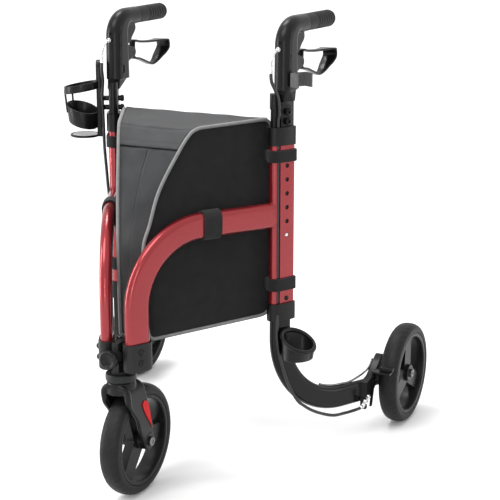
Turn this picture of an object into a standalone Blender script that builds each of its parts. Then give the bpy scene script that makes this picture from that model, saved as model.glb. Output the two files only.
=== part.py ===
"""A folding rollator with three wheels and no seat, built from its separate pieces.

The front is at -Y and the user walks at +Y. The origin is on the floor, under the middle of the object.
Two side frames swing on vertical pins in a head casting, which carries the front caster. Each side frame
has a bent oval tube, an upright with a telescoping handle, a curved leg, a rear wheel and its brake.
The user's left is at +X. A cup holder hangs on the right handle, a crutch clip and cup on the left side.

Places on a side frame are given as (s, n, z): s runs back along the frame from its foot, n points outward.
Places on a handle are given as (a, b, z): a runs back from the upright's axis, b points outward.
"""
import math

import bmesh
import bpy
from mathutils import Matrix, Vector

# Clearances
GAP = 0.0003
SLIDE_GAP = 0.0004

# Side frame: the angle that it opens from straight back, and where its tube foot stands
SIDE_ANGLE = math.radians(27.9)
FOOT_X, FOOT_Y = 0.0301, -0.3043

# Wheels, their hubs, spokes and tyres
WHEEL_R, TYRE_WIDTH, TYRE_BEAD = 0.100, 0.0372, 0.0177
RIM_OUTER, RIM_INNER, RIM_HALF, RIM_WAIST = 0.082, 0.074, 0.0178, 0.004
HUB_R, HUB_HALF = 0.017, 0.015
SPOKE_COUNT, SPOKE_HALF, SPOKE_DEPTH = 3, 0.0165, 0.0085
FRONT_TURN, REAR_TURN = -8, -32
AXLE_R, AXLE_HEAD_R, AXLE_HEAD = 0.005, 0.0085, 0.004

# Head casting, from the steerer housing up: lower plate, room for the lugs, upper plate
CROWN_ROOM, STEER_HEIGHT, PLATE_LOW, LUG_ROOM, PLATE_HIGH = 0.026, 0.018, 0.018, 0.022, 0.013
STEER_LOW = 2 * WHEEL_R + CROWN_ROOM
HEAD_LOW = STEER_LOW + STEER_HEIGHT
LUG_LOW = HEAD_LOW + PLATE_LOW
LUG_HIGH = LUG_LOW + LUG_ROOM
HEAD_TOP = LUG_HIGH + PLATE_HIGH
PIN_X, PIN_Y, PIN_R = 0.009, -0.298, 0.0035
LUG_R = 0.0067
CASTER_Y, TRAIL = -0.3108, 0.0448
STEER_R, STEM_R, STEM_GRIP = 0.017, 0.007, 0.005
STEM_TOP = HEAD_LOW + STEM_GRIP
COLLAR_R, COLLAR_HEIGHT = 0.027, 0.014
WEB_HALF, WEB_REACH = 0.0062, 0.0172
WEB_FRONT = CASTER_Y - WEB_REACH

# Boss and lock knob on the front of the head
BOSS_R, BOSS_REACH = 0.012, 0.013
BOSS_FRONT = WEB_FRONT - BOSS_REACH
KNOB_RISE, KNOB_R, KNOB_DEPTH, KNOB_RIM = 0.0116, 0.0165, 0.0127, 0.003
KNOB_Z = LUG_LOW + KNOB_RISE
STUD_R, STUD_DEPTH = 0.004, 0.010

# Tube socket that holds the foot of the bent tube
SOCKET_LENGTH, SOCKET_WIDTH, SOCKET_HEIGHT, SOCKET_CHAMFER = 0.054, 0.029, 0.051, 0.003
SOCKET_LOW = HEAD_LOW + 2 * GAP
SOCKET_TOP = SOCKET_LOW + SOCKET_HEIGHT
SCREW_HEAD_R, SCREW_HEAD_HEIGHT, SCREW_STEP = 0.0060, 0.0022, 0.0195
SOCKET_SCREWS = (SOCKET_TOP - 0.0145, SOCKET_TOP - 0.0145 - SCREW_STEP)

# Bent oval tube
TUBE_DEPTH, TUBE_WIDTH, TUBE_WALL = 0.046, 0.021, 0.0018
TUBE_STAND, BEND_R = 0.056, 0.130
BEND_LOW = SOCKET_TOP + TUBE_STAND
TOP_SLOPE = math.radians(1.2)

# Curved leg
LEG_DEPTH, LEG_WIDTH, LEG_WALL = 0.043, 0.020, 0.002
LEG_RISE, LEG_R, LEG_AXIS_Z, LEG_RUN = 0.044, 0.150, 0.096, 0.038
LEG_TOP = LEG_AXIS_Z + LEG_R + LEG_RISE

# Upright rail: a round front lobe with a cable groove, and a flat box behind it
RAIL_S, RAIL_DEPTH, RAIL_WIDTH, RAIL_WALL = 0.305, 0.047, 0.022, 0.0016
RAIL_CORNER = 0.003
GROOVE_HALF, GROOVE_DEPTH = 0.0035, 0.007
JOIN_ROOM, RAIL_LENGTH = 0.010, 0.334
RAIL_LOW = LEG_TOP + JOIN_ROOM
RAIL_TOP = RAIL_LOW + RAIL_LENGTH
HOLE_U, HOLE_R, HOLE_PITCH, HOLE_COUNT, HOLE_RISE = 0.006, 0.004, 0.0254, 6, 0.141
HOLE_LOW = RAIL_LOW + HOLE_RISE
RIVET_Z = RAIL_LOW + 0.022
LEG_END = RAIL_S + LEG_R + LEG_RUN
END_X = FOOT_X + LEG_END * math.sin(SIDE_ANGLE)
END_Y = FOOT_Y + LEG_END * math.cos(SIDE_ANGLE)
REAR_OUT, REAR_BACK = 0.0482, 0.1345
REAR_X, REAR_Y = END_X + REAR_OUT, END_Y + REAR_BACK

# Sleeves and straps on the upright
SLEEVE_DEPTH, SLEEVE_WIDTH, SLEEVE_ON_LEG, SLEEVE_ON_RAIL = 0.054, 0.029, 0.009, 0.0134
SLEEVE_LOW, SLEEVE_TOP = LEG_TOP - SLEEVE_ON_LEG, RAIL_LOW + SLEEVE_ON_RAIL
CAP_DEPTH, CAP_WIDTH, CAP_LIP, CAP_HEIGHT = 0.052, 0.027, 0.0035, 0.0325
CAP_TOP = RAIL_TOP + CAP_LIP
CAP_LOW = CAP_TOP - CAP_HEIGHT
STRAP_THICK, UPPER_DROP, UPPER_HEIGHT, LOWER_RISE, LOWER_HEIGHT = 0.0037, 0.059, 0.0215, 0.038, 0.023
UPPER_STRAP = (RAIL_TOP - UPPER_DROP, RAIL_TOP - UPPER_DROP + UPPER_HEIGHT)
LOWER_STRAP = (RAIL_LOW + LOWER_RISE, RAIL_LOW + LOWER_RISE + LOWER_HEIGHT)
TAB_REACH, TAB_WIDTH = 0.022, 0.018
TUBE_STRAP_BACK, TUBE_STRAP_WIDTH = 0.137, 0.035
TUBE_STRAP = (RAIL_S - TUBE_STRAP_BACK - TUBE_STRAP_WIDTH, RAIL_S - TUBE_STRAP_BACK)

# Telescoping post, its clamp screws and snap button
POST_WALL, POST_SHOW, POST_BELOW_HOLE = 0.0015, 0.0477, 0.046
POST_TOP, POST_LOW = RAIL_TOP + POST_SHOW, HOLE_LOW - POST_BELOW_HOLE
LOBE_R, LOBE_U, LOBE_SHOW = 0.0085, -0.015, 0.0153
LOBE_TOP = POST_TOP + LOBE_SHOW
POST_SCREW_DROP, POST_SCREW_STEP = 0.0177, 0.017
POST_SCREWS = (POST_TOP - POST_SCREW_DROP, POST_TOP - POST_SCREW_DROP - POST_SCREW_STEP)
POST_SCREW_R, POST_SCREW_OUT, POST_NUT_IN = 0.0048, 0.0035, 0.0085
BUTTON_R, BUTTON_PROUD = 0.0036, 0.0009
LEAF_DROP, LEAF_THICK, LEAF_HALF = 0.036, 0.0008, 0.004

# Fork
FORK_HALF, FORK_THICK = 0.028, 0.0075
FORK_HUB_R, FORK_CORNER, FORK_ARM_STEPS = 0.016, 0.014, 9
# The fork's arm from the axle up: (share of the rise to the steerer, share of the trail, depth)
FORK_ARM = ((0.0, 0.0, 0.032), (0.222, 0.181, 0.0435), (0.397, 0.346, 0.043), (0.556, 0.589, 0.0524),
            (0.683, 0.781, 0.060), (0.889, 0.9375, 0.056), (0.972, 1.0, 0.050), (1.0, 1.0, 0.050))
# The bell under the steering collar: (height over the wheel's top, radius)
FORK_BELL = ((0.0045, 0.0272), (0.013, 0.0265), (0.0205, 0.0255))
FORK_BELL_TOP_R = 0.0245
INLAY_RISE, INLAY_HEIGHT, INLAY_WIDTH, INLAY_THICK = 0.0241, 0.0584, 0.0186, 0.0012
INLAY_BACK, INLAY_SLANT, INLAY_WIDEST, INLAY_STEPS = 0.0075, 0.0058, 0.82, 12

# Rear bracket and brake
BRACKET_GAP, BRACKET_THICK = 0.0092, 0.014
BRACKET_IN = END_X + BRACKET_GAP
BRACKET_OUT = BRACKET_IN + BRACKET_THICK
BRACKET_BOSS_R, PLUG_LENGTH = 0.012, 0.028
BRAKE_PIVOT_Y, BRAKE_PIVOT_Z, BRAKE_PIVOT_R = REAR_Y - 0.10785, WHEEL_R + 0.012, 0.0045
ARM_THICK, ARM_DROP = 0.0032, 0.047
BLADE_RISE, BLADE_REACH, BLADE_THICK, BLADE_RUN = 0.021, 0.052, 0.003, 0.0032
BLADE_OUT = BRACKET_IN + BLADE_REACH
BLADE_Z = BRAKE_PIVOT_Z + BLADE_RISE
PAD_HEIGHT, PAD_DEPTH, PAD_WIDTH = 0.007, 0.009, 0.027
STOP_AHEAD, STOP_DROP, STOP_LENGTH, STOP_WIDTH = 0.1399, 0.025, 0.009, 0.011
STOP_Y, STOP_Z = REAR_Y - STOP_AHEAD, LEG_AXIS_Z - STOP_DROP

# Handle: housing, grip and brake lever
FLARE = math.radians(2.0)
HOUSING_A, HOUSING_GAP, HOUSING_HEIGHT, HOUSING_R = 0.018, 0.0183, 0.078, 0.034
HOUSING_LOW = POST_TOP + HOUSING_GAP
HOUSING_BEND = HOUSING_LOW + HOUSING_HEIGHT
HOUSING_DEPTH, HOUSING_WIDTH = 0.052, 0.033
GRIP_R, GRIP_START, GRIP_LENGTH, GRIP_DOME = 0.0155, 0.087, 0.1115, 0.010
THROAT_BACK, THROAT_FRONT, THROAT_HALF = 0.024, -0.0035, 0.0115
LEVER_A, LEVER_DROP, LEVER_HUB_R, LEVER_HALF = 0.063, 0.033, 0.009, 0.006
LEVER_Z = HOUSING_BEND - LEVER_DROP
LEVER_LENGTH, LEVER_DEPTH, LEVER_THICK, LEVER_TIP_HALF = 0.1365, 0.0315, 0.0045, 0.0148
LEVER_PIN_R, LEVER_WIDENS = 0.0025, 0.6
CHEEK = 0.0035
REST_RISE, REST_HEIGHT, REST_BACK, REST_HALF = 0.001, 0.022, 0.077, 0.007

# Brake cable and the metal pipe that leads it out of the housing
CABLE_R, PIPE_R, PIPE_RISE = 0.0030, 0.003, 0.001
CABLE_POINTS = 46
# The right cable hangs slack beside its upright: (back from the groove, outward, height over the rail's top)
SLACK_CABLE = ((-0.006, 0.0187, 0.058), (-0.003, 0.0203, 0.038), (0.0, 0.0199, 0.008), (0.0, 0.0194, -0.034),
               (0.0, 0.0189, -0.062), (0.0, 0.0165, -0.100), (0.0, 0.0136, -0.144), (0.0, 0.0092, -0.186))

# Crutch clip, on the left handle
CLIP_BEHIND, CLIP_N, CLIP_HALF, CLIP_WALL = 0.023, 0.030, 0.0135, 0.003
CLIP_BACK, CLIP_REACH, CLIP_DROP, CLIP_HEIGHT = 0.0102, 0.0085, -0.008, 0.025
CLIP_S, CLIP_LOW = RAIL_S + CLIP_BEHIND, HOUSING_LOW - CLIP_DROP
CLIP_TOP = CLIP_LOW + CLIP_HEIGHT
CLIP_FOOT_FRONT, CLIP_FOOT_BACK, CLIP_FOOT_REACH = 0.0, 0.022, 0.030

# Crutch cup, on the left leg
CUP_BEHIND, CUP_A, CUP_B, CUP_WALL, CUP_LIP = 0.011, 0.033, 0.028, 0.0022, 0.0016
CUP_S, CUP_DROP, CUP_HEIGHT = RAIL_S + CUP_BEHIND, 0.077, 0.035
CUP_LOW = LEG_TOP - CUP_DROP
CUP_CLEAR, CUP_FLOOR, CUP_RIM, CUP_SLOPE = 0.003, 0.003, CUP_LOW + CUP_HEIGHT, 0.55
CUP_BLOCK_FRONT, CUP_BLOCK_BACK, CUP_BLOCK_LOW, CUP_BLOCK_HIGH = 0.004, 0.020, 0.004, 0.049

# Cup holder, on the right handle
HOLDER_S, HOLDER_N, HOLDER_PLATE_N, HOLDER_PLATE_THICK = RAIL_S + HOLE_U, 0.059, 0.0205, 0.0115
HOLDER_PLATE_HALF, HOLDER_DROP, HOLDER_HEIGHT = 0.013, 0.0887, 0.143
HOLDER_LOW = POST_TOP - HOLDER_DROP
HOLDER_TOP = HOLDER_LOW + HOLDER_HEIGHT
RING_R, RING_WALL, RING_HEIGHT, RING_RISE = 0.034, 0.0025, 0.014, 0.092
BUCKET_R, BUCKET_LOW_R, BUCKET_HEIGHT, BUCKET_RISE = 0.030, 0.027, 0.034, 0.031
RING_TILT, RING_LEAN, BUCKET_TILT, BUCKET_LEAN = (math.radians(a) for a in (10, -2, 14, 12))
RING_Z, BUCKET_Z = HOLDER_LOW + RING_RISE, HOLDER_LOW + BUCKET_RISE
TRAY_R, TRAY_THICK, TRAY_DROP = 0.028, 0.005, 0.001
ARM_HALF, LINK_WIDTH, LINK_THICK, LINK_SIDE = 0.008, 0.004, 0.0022, 0.009

# Bag: its front edge as (s, height above its base), its sides and its lid
BAG_N, BAG_INSET, BAG_DROP, BAG_HEIGHT = -0.020, 0.012, 0.013, 0.365
BAG_LOW, BAG_BACK = RAIL_LOW - BAG_DROP, RAIL_S - BAG_INSET
BAG_TOP_BACK = BAG_LOW + BAG_HEIGHT
BAG_EDGE = ((0.037, 0.0), (0.030, 0.058), (0.028, 0.160), (0.042, 0.205), (0.063, 0.263),
            (0.105, 0.327), (0.124, 0.350), (0.134, 0.357), (0.147, 0.361))
BAG_FRONT = [(s, BAG_LOW + BAG_HEIGHT * rise / 0.365) for s, rise in BAG_EDGE]
BAG_CORNER = 0.008
LID_THICK, LID_EDGE, LID_START = 0.003, 0.007, 5

# Steps round a circle
ROUND, FINE, WHEEL_STEPS, TUBE_STEPS = 12, 20, 32, 14

RED = (0.42, 0.02, 0.03)
BLACK = (0.025, 0.025, 0.027)
DARK_GREY = (0.06, 0.06, 0.065)
STEEL = (0.60, 0.60, 0.62)


def side_point(side, s, n, z):
    """The world place of (s, n, z) on the side frame at side +1 (the user's left) or -1."""
    x = FOOT_X + s * math.sin(SIDE_ANGLE) + n * math.cos(SIDE_ANGLE)
    y = FOOT_Y + s * math.cos(SIDE_ANGLE) - n * math.sin(SIDE_ANGLE)
    return Vector((side * x, y, z))


def handle_point(side, a, b, z):
    """The world place of (a, b, z) on the handle at side."""
    axis = side_point(1, RAIL_S, 0, 0)
    x = axis.x + a * math.sin(FLARE) + b * math.cos(FLARE)
    y = axis.y + a * math.cos(FLARE) - b * math.sin(FLARE)
    return Vector((side * x, y, z))


def world_point(side, x, y, z):
    return Vector((side * x, y, z))


def arc(cx, cy, radius, start, end, steps):
    """Points on a circle from one angle to another, in degrees, both ends included."""
    points = []
    for i in range(steps + 1):
        angle = math.radians(start + (end - start) * i / steps)
        points.append((cx + radius * math.cos(angle), cy + radius * math.sin(angle)))
    return points


def circle(radius, steps, cx=0.0, cy=0.0):
    return arc(cx, cy, radius, 0, 360, steps)[:-1]


def oval(depth, width, steps):
    """A slot shape: depth along the first axis, width along the second, with half round ends."""
    reach = (depth - width) / 2
    half = steps // 2 - 1
    return arc(reach, 0, width / 2, -90, 90, half) + arc(-reach, 0, width / 2, 90, 270, half)


def ellipse(a, b, steps):
    return [(a * x, b * y) for x, y in circle(1, steps)]


def rounded_box(depth, width, radius, steps=2):
    """A rectangle with round corners."""
    x, y = depth / 2 - radius, width / 2 - radius
    points = []
    for cx, cy, start in ((x, -y, -90), (x, y, 0), (-x, y, 90), (-x, -y, 180)):
        points += arc(cx, cy, radius, start, start + 90, steps)
    return points


def lobed(depth, width, corner):
    """A section with a half round front and small round corners at the back, like the upright's."""
    half, back = width / 2, depth / 2
    points = arc(back - corner, -half + corner, corner, -90, 0, 2)
    points += arc(back - corner, half - corner, corner, 0, 90, 2)
    return points + arc(half - back, 0, half, 90, 270, 10)


def rail_outline(inset):
    """The upright's section, moved inward by inset: round lobe, cable groove and box."""
    half = RAIL_WIDTH / 2 - inset
    lobe = -RAIL_DEPTH / 2 + RAIL_WIDTH / 2
    back = RAIL_DEPTH / 2 - inset
    corner = RAIL_CORNER - min(inset, RAIL_CORNER * 0.7)
    groove = GROOVE_HALF + inset
    floor = RAIL_WIDTH / 2 - GROOVE_DEPTH - inset
    start = math.degrees(math.acos(-groove / half))
    points = arc(back - corner, -half + corner, corner, -90, 0, 2)
    points += arc(back - corner, half - corner, corner, 0, 90, 2)
    points += [(lobe + groove, half), (lobe + groove, floor), (lobe - groove, floor)]
    return points + arc(lobe, 0, half, start, 270, 7)


def new_object(name, mesh_data):
    """An object from a bmesh, with its faces turned outward and its round faces smooth."""
    bmesh.ops.recalc_face_normals(mesh_data, faces=mesh_data.faces)
    mesh = bpy.data.meshes.new(name)
    mesh_data.to_mesh(mesh)
    mesh_data.free()
    obj = bpy.data.objects.new(name, mesh)
    bpy.context.scene.collection.objects.link(obj)
    return obj


def loft(name, rings, loop=False):
    """A solid whose skin runs through rings of as many points each, with flat ends, or closed in a loop."""
    data = bmesh.new()
    rows = [[data.verts.new(point) for point in ring] for ring in rings]
    count = len(rows[0])
    pairs = list(zip(rows, rows[1:]))
    if loop:
        pairs.append((rows[-1], rows[0]))
    for low, high in pairs:
        for i in range(count):
            j = (i + 1) % count
            data.faces.new((low[i], low[j], high[j], high[i]))
    if not loop:
        data.faces.new(rows[0][::-1])
        data.faces.new(rows[-1])
    return new_object(name, data)


def prism(name, outline, low, high, place):
    """An outline raised from low to high, in the coordinates that place turns into the world's."""
    return loft(name, [[place(u, v, z) for u, v in outline] for z in (low, high)])


def hollow(name, outer_rings, inner_rings):
    """A tube with open ends, from its outer and inner rings."""
    return loft(name, outer_rings + inner_rings[::-1], loop=True)


def turned(name, profile, steps, place, loop=False):
    """A profile of (radius, height) points turned round an axis, as a solid or as a ring."""
    rings = []
    for radius, height in profile:
        rings.append([place(u, v, height) for u, v in circle(radius, steps)])
    return loft(name, rings, loop)


def sweep(path, outline, place):
    """Rings along a path of (u, z, angle) in a plane; the outline is (across the path, sideways)."""
    rings = []
    for u, z, angle in path:
        across_u, across_z = -math.sin(angle), math.cos(angle)
        rings.append([place(u + p * across_u, q, z + p * across_z) for p, q in outline])
    return rings


def block(name, us, vs, zs, place):
    """A box between three pairs of limits."""
    corners = [(us[0], vs[0]), (us[1], vs[0]), (us[1], vs[1]), (us[0], vs[1])]
    return prism(name, corners, zs[0], zs[1], place)


def combine(target, tool, operation):
    """Applies a Boolean to target and removes the tool."""
    modifier = target.modifiers.new(operation.title(), "BOOLEAN")
    modifier.operation = operation
    modifier.object = tool
    graph = bpy.context.evaluated_depsgraph_get()
    target.data = bpy.data.meshes.new_from_object(target.evaluated_get(graph))
    target.modifiers.clear()
    bpy.data.objects.remove(tool)
    return target


def fuse(target, *tools):
    for tool in tools:
        combine(target, tool, "UNION")
    return target


def cut(target, *tools):
    for tool in tools:
        combine(target, tool, "DIFFERENCE")
    return target


def on_side(side):
    """place for a side frame: outline (s, n), height z."""
    return lambda s, n, z: side_point(side, s, n, z)


def on_rail(side):
    """place for the upright: outline (back from its axis, outward), height z."""
    return lambda u, n, z: side_point(side, RAIL_S + u, n, z)


def on_handle(side):
    return lambda a, b, z: handle_point(side, a, b, z)


def along_x(side, y, z):
    """place for what turns about an axis along X through (y, z); heights are x."""
    return lambda u, v, x: Vector((side * x, y + u, z + v))


def along_y(x, z):
    return lambda u, v, y: Vector((x + u, y, z + v))


def across_rail(side, u, z):
    """place for what points outward from the upright at (u, z); heights are n."""
    return lambda p, q, n: side_point(side, RAIL_S + u + p, n, z + q)


def across_handle(side, a, z):
    """place for what lies across the handle at (a, z); heights are b."""
    return lambda p, q, b: handle_point(side, a + p, b, z + q)


def smooth_route(points, count):
    """Evenly counted places on a smooth curve through the points."""
    places = []
    for i in range(count + 1):
        t = i / count * (len(points) - 1)
        k = min(int(t), len(points) - 2)
        f = t - k
        p0, p1 = points[max(k - 1, 0)], points[k]
        p2, p3 = points[k + 1], points[min(k + 2, len(points) - 1)]
        bend = (2 * p0 - 5 * p1 + 4 * p2 - p3) * f * f + (3 * p1 - p0 - 3 * p2 + p3) * f ** 3
        places.append(0.5 * (2 * p1 + (p2 - p0) * f + bend))
    return places


def cord(name, points, radius):
    """A round cord along the points, with closed ends."""
    curve = bpy.data.curves.new(name, "CURVE")
    curve.dimensions = "3D"
    curve.bevel_depth = radius
    curve.bevel_resolution = 2
    curve.use_fill_caps = True
    line = curve.splines.new("POLY")
    line.points.add(len(points) - 1)
    for place, point in zip(line.points, points):
        place.co = (*point, 1)
    obj = bpy.data.objects.new(name, curve)
    bpy.context.scene.collection.objects.link(obj)
    return obj


def as_mesh(obj):
    """A curve object's tube as a plain mesh object, for use as a cutter."""
    graph = bpy.context.evaluated_depsgraph_get()
    data = bmesh.new()
    data.from_mesh(bpy.data.meshes.new_from_object(obj.evaluated_get(graph)))
    bmesh.ops.remove_doubles(data, verts=data.verts, dist=0.00001)
    bpy.data.objects.remove(obj)
    return new_object("tube", data)


def head_block():
    """The casting that joins both side frames to the caster and the lock knob."""
    outline = arc(PIN_X, PIN_Y, LUG_R, -45, 90, 5) + arc(-PIN_X, PIN_Y, LUG_R, 90, 225, 5)
    outline += [(-WEB_HALF, CASTER_Y), (-WEB_HALF, WEB_FRONT), (WEB_HALF, WEB_FRONT), (WEB_HALF, CASTER_Y)]
    plain = on_world()
    head = prism("head_block", outline, HEAD_LOW, LUG_LOW, plain)
    core_half = WEB_HALF - 0.001
    core = block("core", (-core_half, core_half), (WEB_FRONT + 0.001, PIN_Y - LUG_R - 2 * GAP),
                 (LUG_LOW - 0.004, LUG_HIGH + 0.004), plain)
    fuse(head, core, prism("upper", outline, LUG_HIGH + GAP, HEAD_TOP, plain))
    boss = prism("boss", circle(BOSS_R, FINE), BOSS_FRONT, WEB_FRONT + 0.004, along_y(0, KNOB_Z))
    steerer = prism("steerer", circle(STEER_R, FINE, 0, CASTER_Y), STEER_LOW, HEAD_LOW + GAP, plain)
    fuse(head, boss, steerer)
    bore = prism("bore", circle(STEM_R + GAP, ROUND, 0, CASTER_Y), STEER_LOW - 0.01, STEM_TOP + GAP, plain)
    stud_end = BOSS_FRONT + STUD_DEPTH + GAP
    stud = prism("stud", circle(STUD_R + GAP, ROUND), BOSS_FRONT - 0.01, stud_end, along_y(0, KNOB_Z))
    cut(head, bore, stud)
    for side in (1, -1):
        hole = circle(PIN_R + GAP, ROUND, side * PIN_X, PIN_Y)
        cut(head, prism("pin_hole", hole, HEAD_LOW - 0.01, HEAD_TOP + 0.01, plain))
    return head


def on_world():
    return lambda x, y, z: Vector((x, y, z))


def hinge_pin(side):
    head = PIN_R + 0.0015
    profile = [(PIN_R, HEAD_LOW), (PIN_R, HEAD_TOP + GAP), (head, HEAD_TOP + GAP), (head, HEAD_TOP + 0.003)]
    pin = turned("hinge_pin", profile, ROUND, lambda u, v, z: Vector((side * PIN_X + u, PIN_Y + v, z)))
    return pin


def lock_knob():
    """The round knob on the front of the head, with a raised rim, and the stud that it turns on."""
    back = BOSS_FRONT - GAP
    face = back - KNOB_DEPTH
    profile = [(STUD_R, back + STUD_DEPTH), (STUD_R, back), (KNOB_R - 0.002, back), (KNOB_R, back - 0.002)]
    profile += [(KNOB_R, face + 0.0015), (KNOB_R - 0.0015, face), (KNOB_R - KNOB_RIM, face)]
    profile += [(KNOB_R - KNOB_RIM - 0.0015, face + 0.0025)]
    return turned("lock_knob", profile, FINE, along_y(0, KNOB_Z))


def steering_collar():
    inner = STEER_R + GAP
    low = STEER_LOW + GAP
    top = low + COLLAR_HEIGHT
    profile = [(inner, low), (COLLAR_R - 0.0015, low), (COLLAR_R, low + 0.002), (COLLAR_R, top - 0.002)]
    profile += [(COLLAR_R - 0.0015, top), (inner, top)]
    place = lambda u, v, z: Vector((u, CASTER_Y + v, z))
    return turned("steering_collar", profile, FINE, place, loop=True)


def fork_section(z):
    """The middle and the depth of the fork's arm at height z, along Y."""
    rise = min(max((z - WHEEL_R) / (STEER_LOW - WHEEL_R), 0.0), 1.0)
    for low, high in zip(FORK_ARM, FORK_ARM[1:]):
        if rise <= high[0]:
            break
    t = (rise - low[0]) / (high[0] - low[0])
    ahead, depth = low[1] + (high[1] - low[1]) * t, low[2] + (high[2] - low[2]) * t
    return CASTER_Y + TRAIL * (1 - ahead), depth


def fork():
    """An arched fork: a bent strip over the wheel, hub bosses, a bell under the collar and the steering stem."""
    wheel_y = CASTER_Y + TRAIL
    mid = FORK_HALF - FORK_THICK / 2
    level = STEER_LOW - GAP - 0.003 - FORK_THICK / 2
    corner_z = level - FORK_CORNER
    arm = [WHEEL_R + (corner_z - WHEEL_R) * i / FORK_ARM_STEPS for i in range(FORK_ARM_STEPS)]
    left = arc(mid - FORK_CORNER, corner_z, FORK_CORNER, 0, 90, 4)
    right = arc(FORK_CORNER - mid, corner_z, FORK_CORNER, 90, 180, 4)
    path = [(mid, z, 90) for z in arm]
    path += [(x, z, 90 + 22.5 * i) for i, (x, z) in enumerate(left)]
    path += [(x, z, 180 + 22.5 * i) for i, (x, z) in enumerate(right)]
    path += [(-mid, z, 270) for z in arm[::-1]]
    rings = []
    for x, z, angle in path:
        across = Vector((-math.sin(math.radians(angle)), 0, math.cos(math.radians(angle))))
        middle, depth = fork_section(z)
        section = rounded_box(FORK_THICK, depth, 0.002, 1)
        rings.append([Vector((x, middle + q, z)) + across * p for p, q in section])
    body = loft("fork", rings)
    crown_place = lambda u, v, z: Vector((u, CASTER_Y + v, z))
    bell = [(radius, 2 * WHEEL_R + rise) for rise, radius in FORK_BELL] + [(FORK_BELL_TOP_R, STEER_LOW - GAP)]
    stem = turned("stem", [(STEM_R, level - 0.001), (STEM_R, STEM_TOP)], ROUND, crown_place)
    fuse(body, turned("bell", bell, FINE + 4, crown_place), stem)
    for side in (1, -1):
        hub_place = along_x(side, wheel_y, WHEEL_R)
        hub = prism("hub", circle(FORK_HUB_R, FINE), HUB_HALF + GAP, FORK_HALF + 0.001, hub_place)
        fuse(body, hub)
    hole = circle(AXLE_R + GAP, ROUND)
    return cut(body, prism("hole", hole, -0.05, 0.05, along_x(1, wheel_y, WHEEL_R)))


def fork_inlay(side):
    """The slim coloured drop set on the outer face of a fork arm, along its rear edge."""
    outer, inner = [], []
    for i in range(INLAY_STEPS + 1):
        t = i / INLAY_STEPS
        z = WHEEL_R + INLAY_RISE + INLAY_HEIGHT * t
        if t < INLAY_WIDEST:
            share = math.sin(math.pi / 2 * t / INLAY_WIDEST) ** 1.3
        else:
            share = math.sqrt(1 - ((t - INLAY_WIDEST) / (1 - INLAY_WIDEST)) ** 2)
        half = INLAY_WIDTH / 2 * max(share, 0.05)
        arm_middle, depth = fork_section(z)
        middle = arm_middle + depth / 2 - INLAY_BACK - INLAY_SLANT * t
        outer.append((middle + half, z))
        inner.append((middle - half, z))
    outline = outer + inner[::-1]
    place = lambda y, z, x: Vector((side * x, y, z))
    return prism("fork_inlay", outline, FORK_HALF + GAP, FORK_HALF + GAP + INLAY_THICK, place)


def axle(side, y, low, high, inner_head, outer_head):
    """A bolt along X with a head at each end, from low to high."""
    profile = [(AXLE_HEAD_R, low), (AXLE_HEAD_R, low + inner_head), (AXLE_R, low + inner_head)]
    profile += [(AXLE_R, high - outer_head), (AXLE_HEAD_R, high - outer_head), (AXLE_HEAD_R, high)]
    return turned("axle", profile, ROUND, along_x(side, y, WHEEL_R))


def wheel_rim(x, y, turn):
    """Rim ring, hub and three broad spokes in one moulding, with the axle's bore."""
    place = along_x(1, y, WHEEL_R)
    place_at = lambda u, v, h: place(u, v, x + h)
    waist = RIM_OUTER - RIM_WAIST
    profile = [(RIM_INNER + 0.002, -RIM_HALF), (RIM_OUTER, -RIM_HALF), (waist, 0), (RIM_OUTER, RIM_HALF)]
    profile += [(RIM_INNER + 0.002, RIM_HALF), (RIM_INNER, RIM_HALF - 0.004), (RIM_INNER, -RIM_HALF + 0.004)]
    rim = turned("rim", profile, WHEEL_STEPS, place_at, loop=True)
    hub = prism("hub", circle(HUB_R, ROUND + 4), -HUB_HALF, HUB_HALF, place_at)
    for i in range(SPOKE_COUNT):
        angle = math.radians(turn + 360 / SPOKE_COUNT * i)
        along, across = (math.cos(angle), math.sin(angle)), (-math.sin(angle), math.cos(angle))
        ends = ((0.004, SPOKE_HALF + 0.001), ((RIM_INNER + waist) / 2, SPOKE_HALF - 0.001))
        outline = [(ends[0][0], -ends[0][1]), (ends[1][0], -ends[1][1]), ends[1], ends[0]]
        corners = [(r * along[0] + w * across[0], r * along[1] + w * across[1]) for r, w in outline]
        fuse(hub, prism("spoke", corners, -SPOKE_DEPTH, SPOKE_DEPTH, place_at))
    fuse(rim, hub)
    return cut(rim, prism("bore", circle(AXLE_R + GAP, ROUND), -0.05, 0.05, place_at))


def tyre(x, y):
    """A round-shouldered tyre that sits in the rim's channel."""
    half = TYRE_WIDTH / 2
    seat = RIM_OUTER - RIM_WAIST + GAP
    place_at = lambda u, v, h: Vector((x + h, y + u, WHEEL_R + v))
    shape = ((0, 0.97), (0.45, 1.0), (0.72, 0.86), (0.90, 0.60), (0.98, 0.30))
    side = [(WHEEL_R - TYRE_BEAD * (1 - rise), width) for rise, width in shape]
    profile = [(seat, 0.0)] + [(r, -half * w) for r, w in side] + [(WHEEL_R, 0.0)]
    profile += [(r, half * w) for r, w in side[::-1]]
    return turned("tyre", profile, WHEEL_STEPS, place_at, loop=True)


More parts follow.
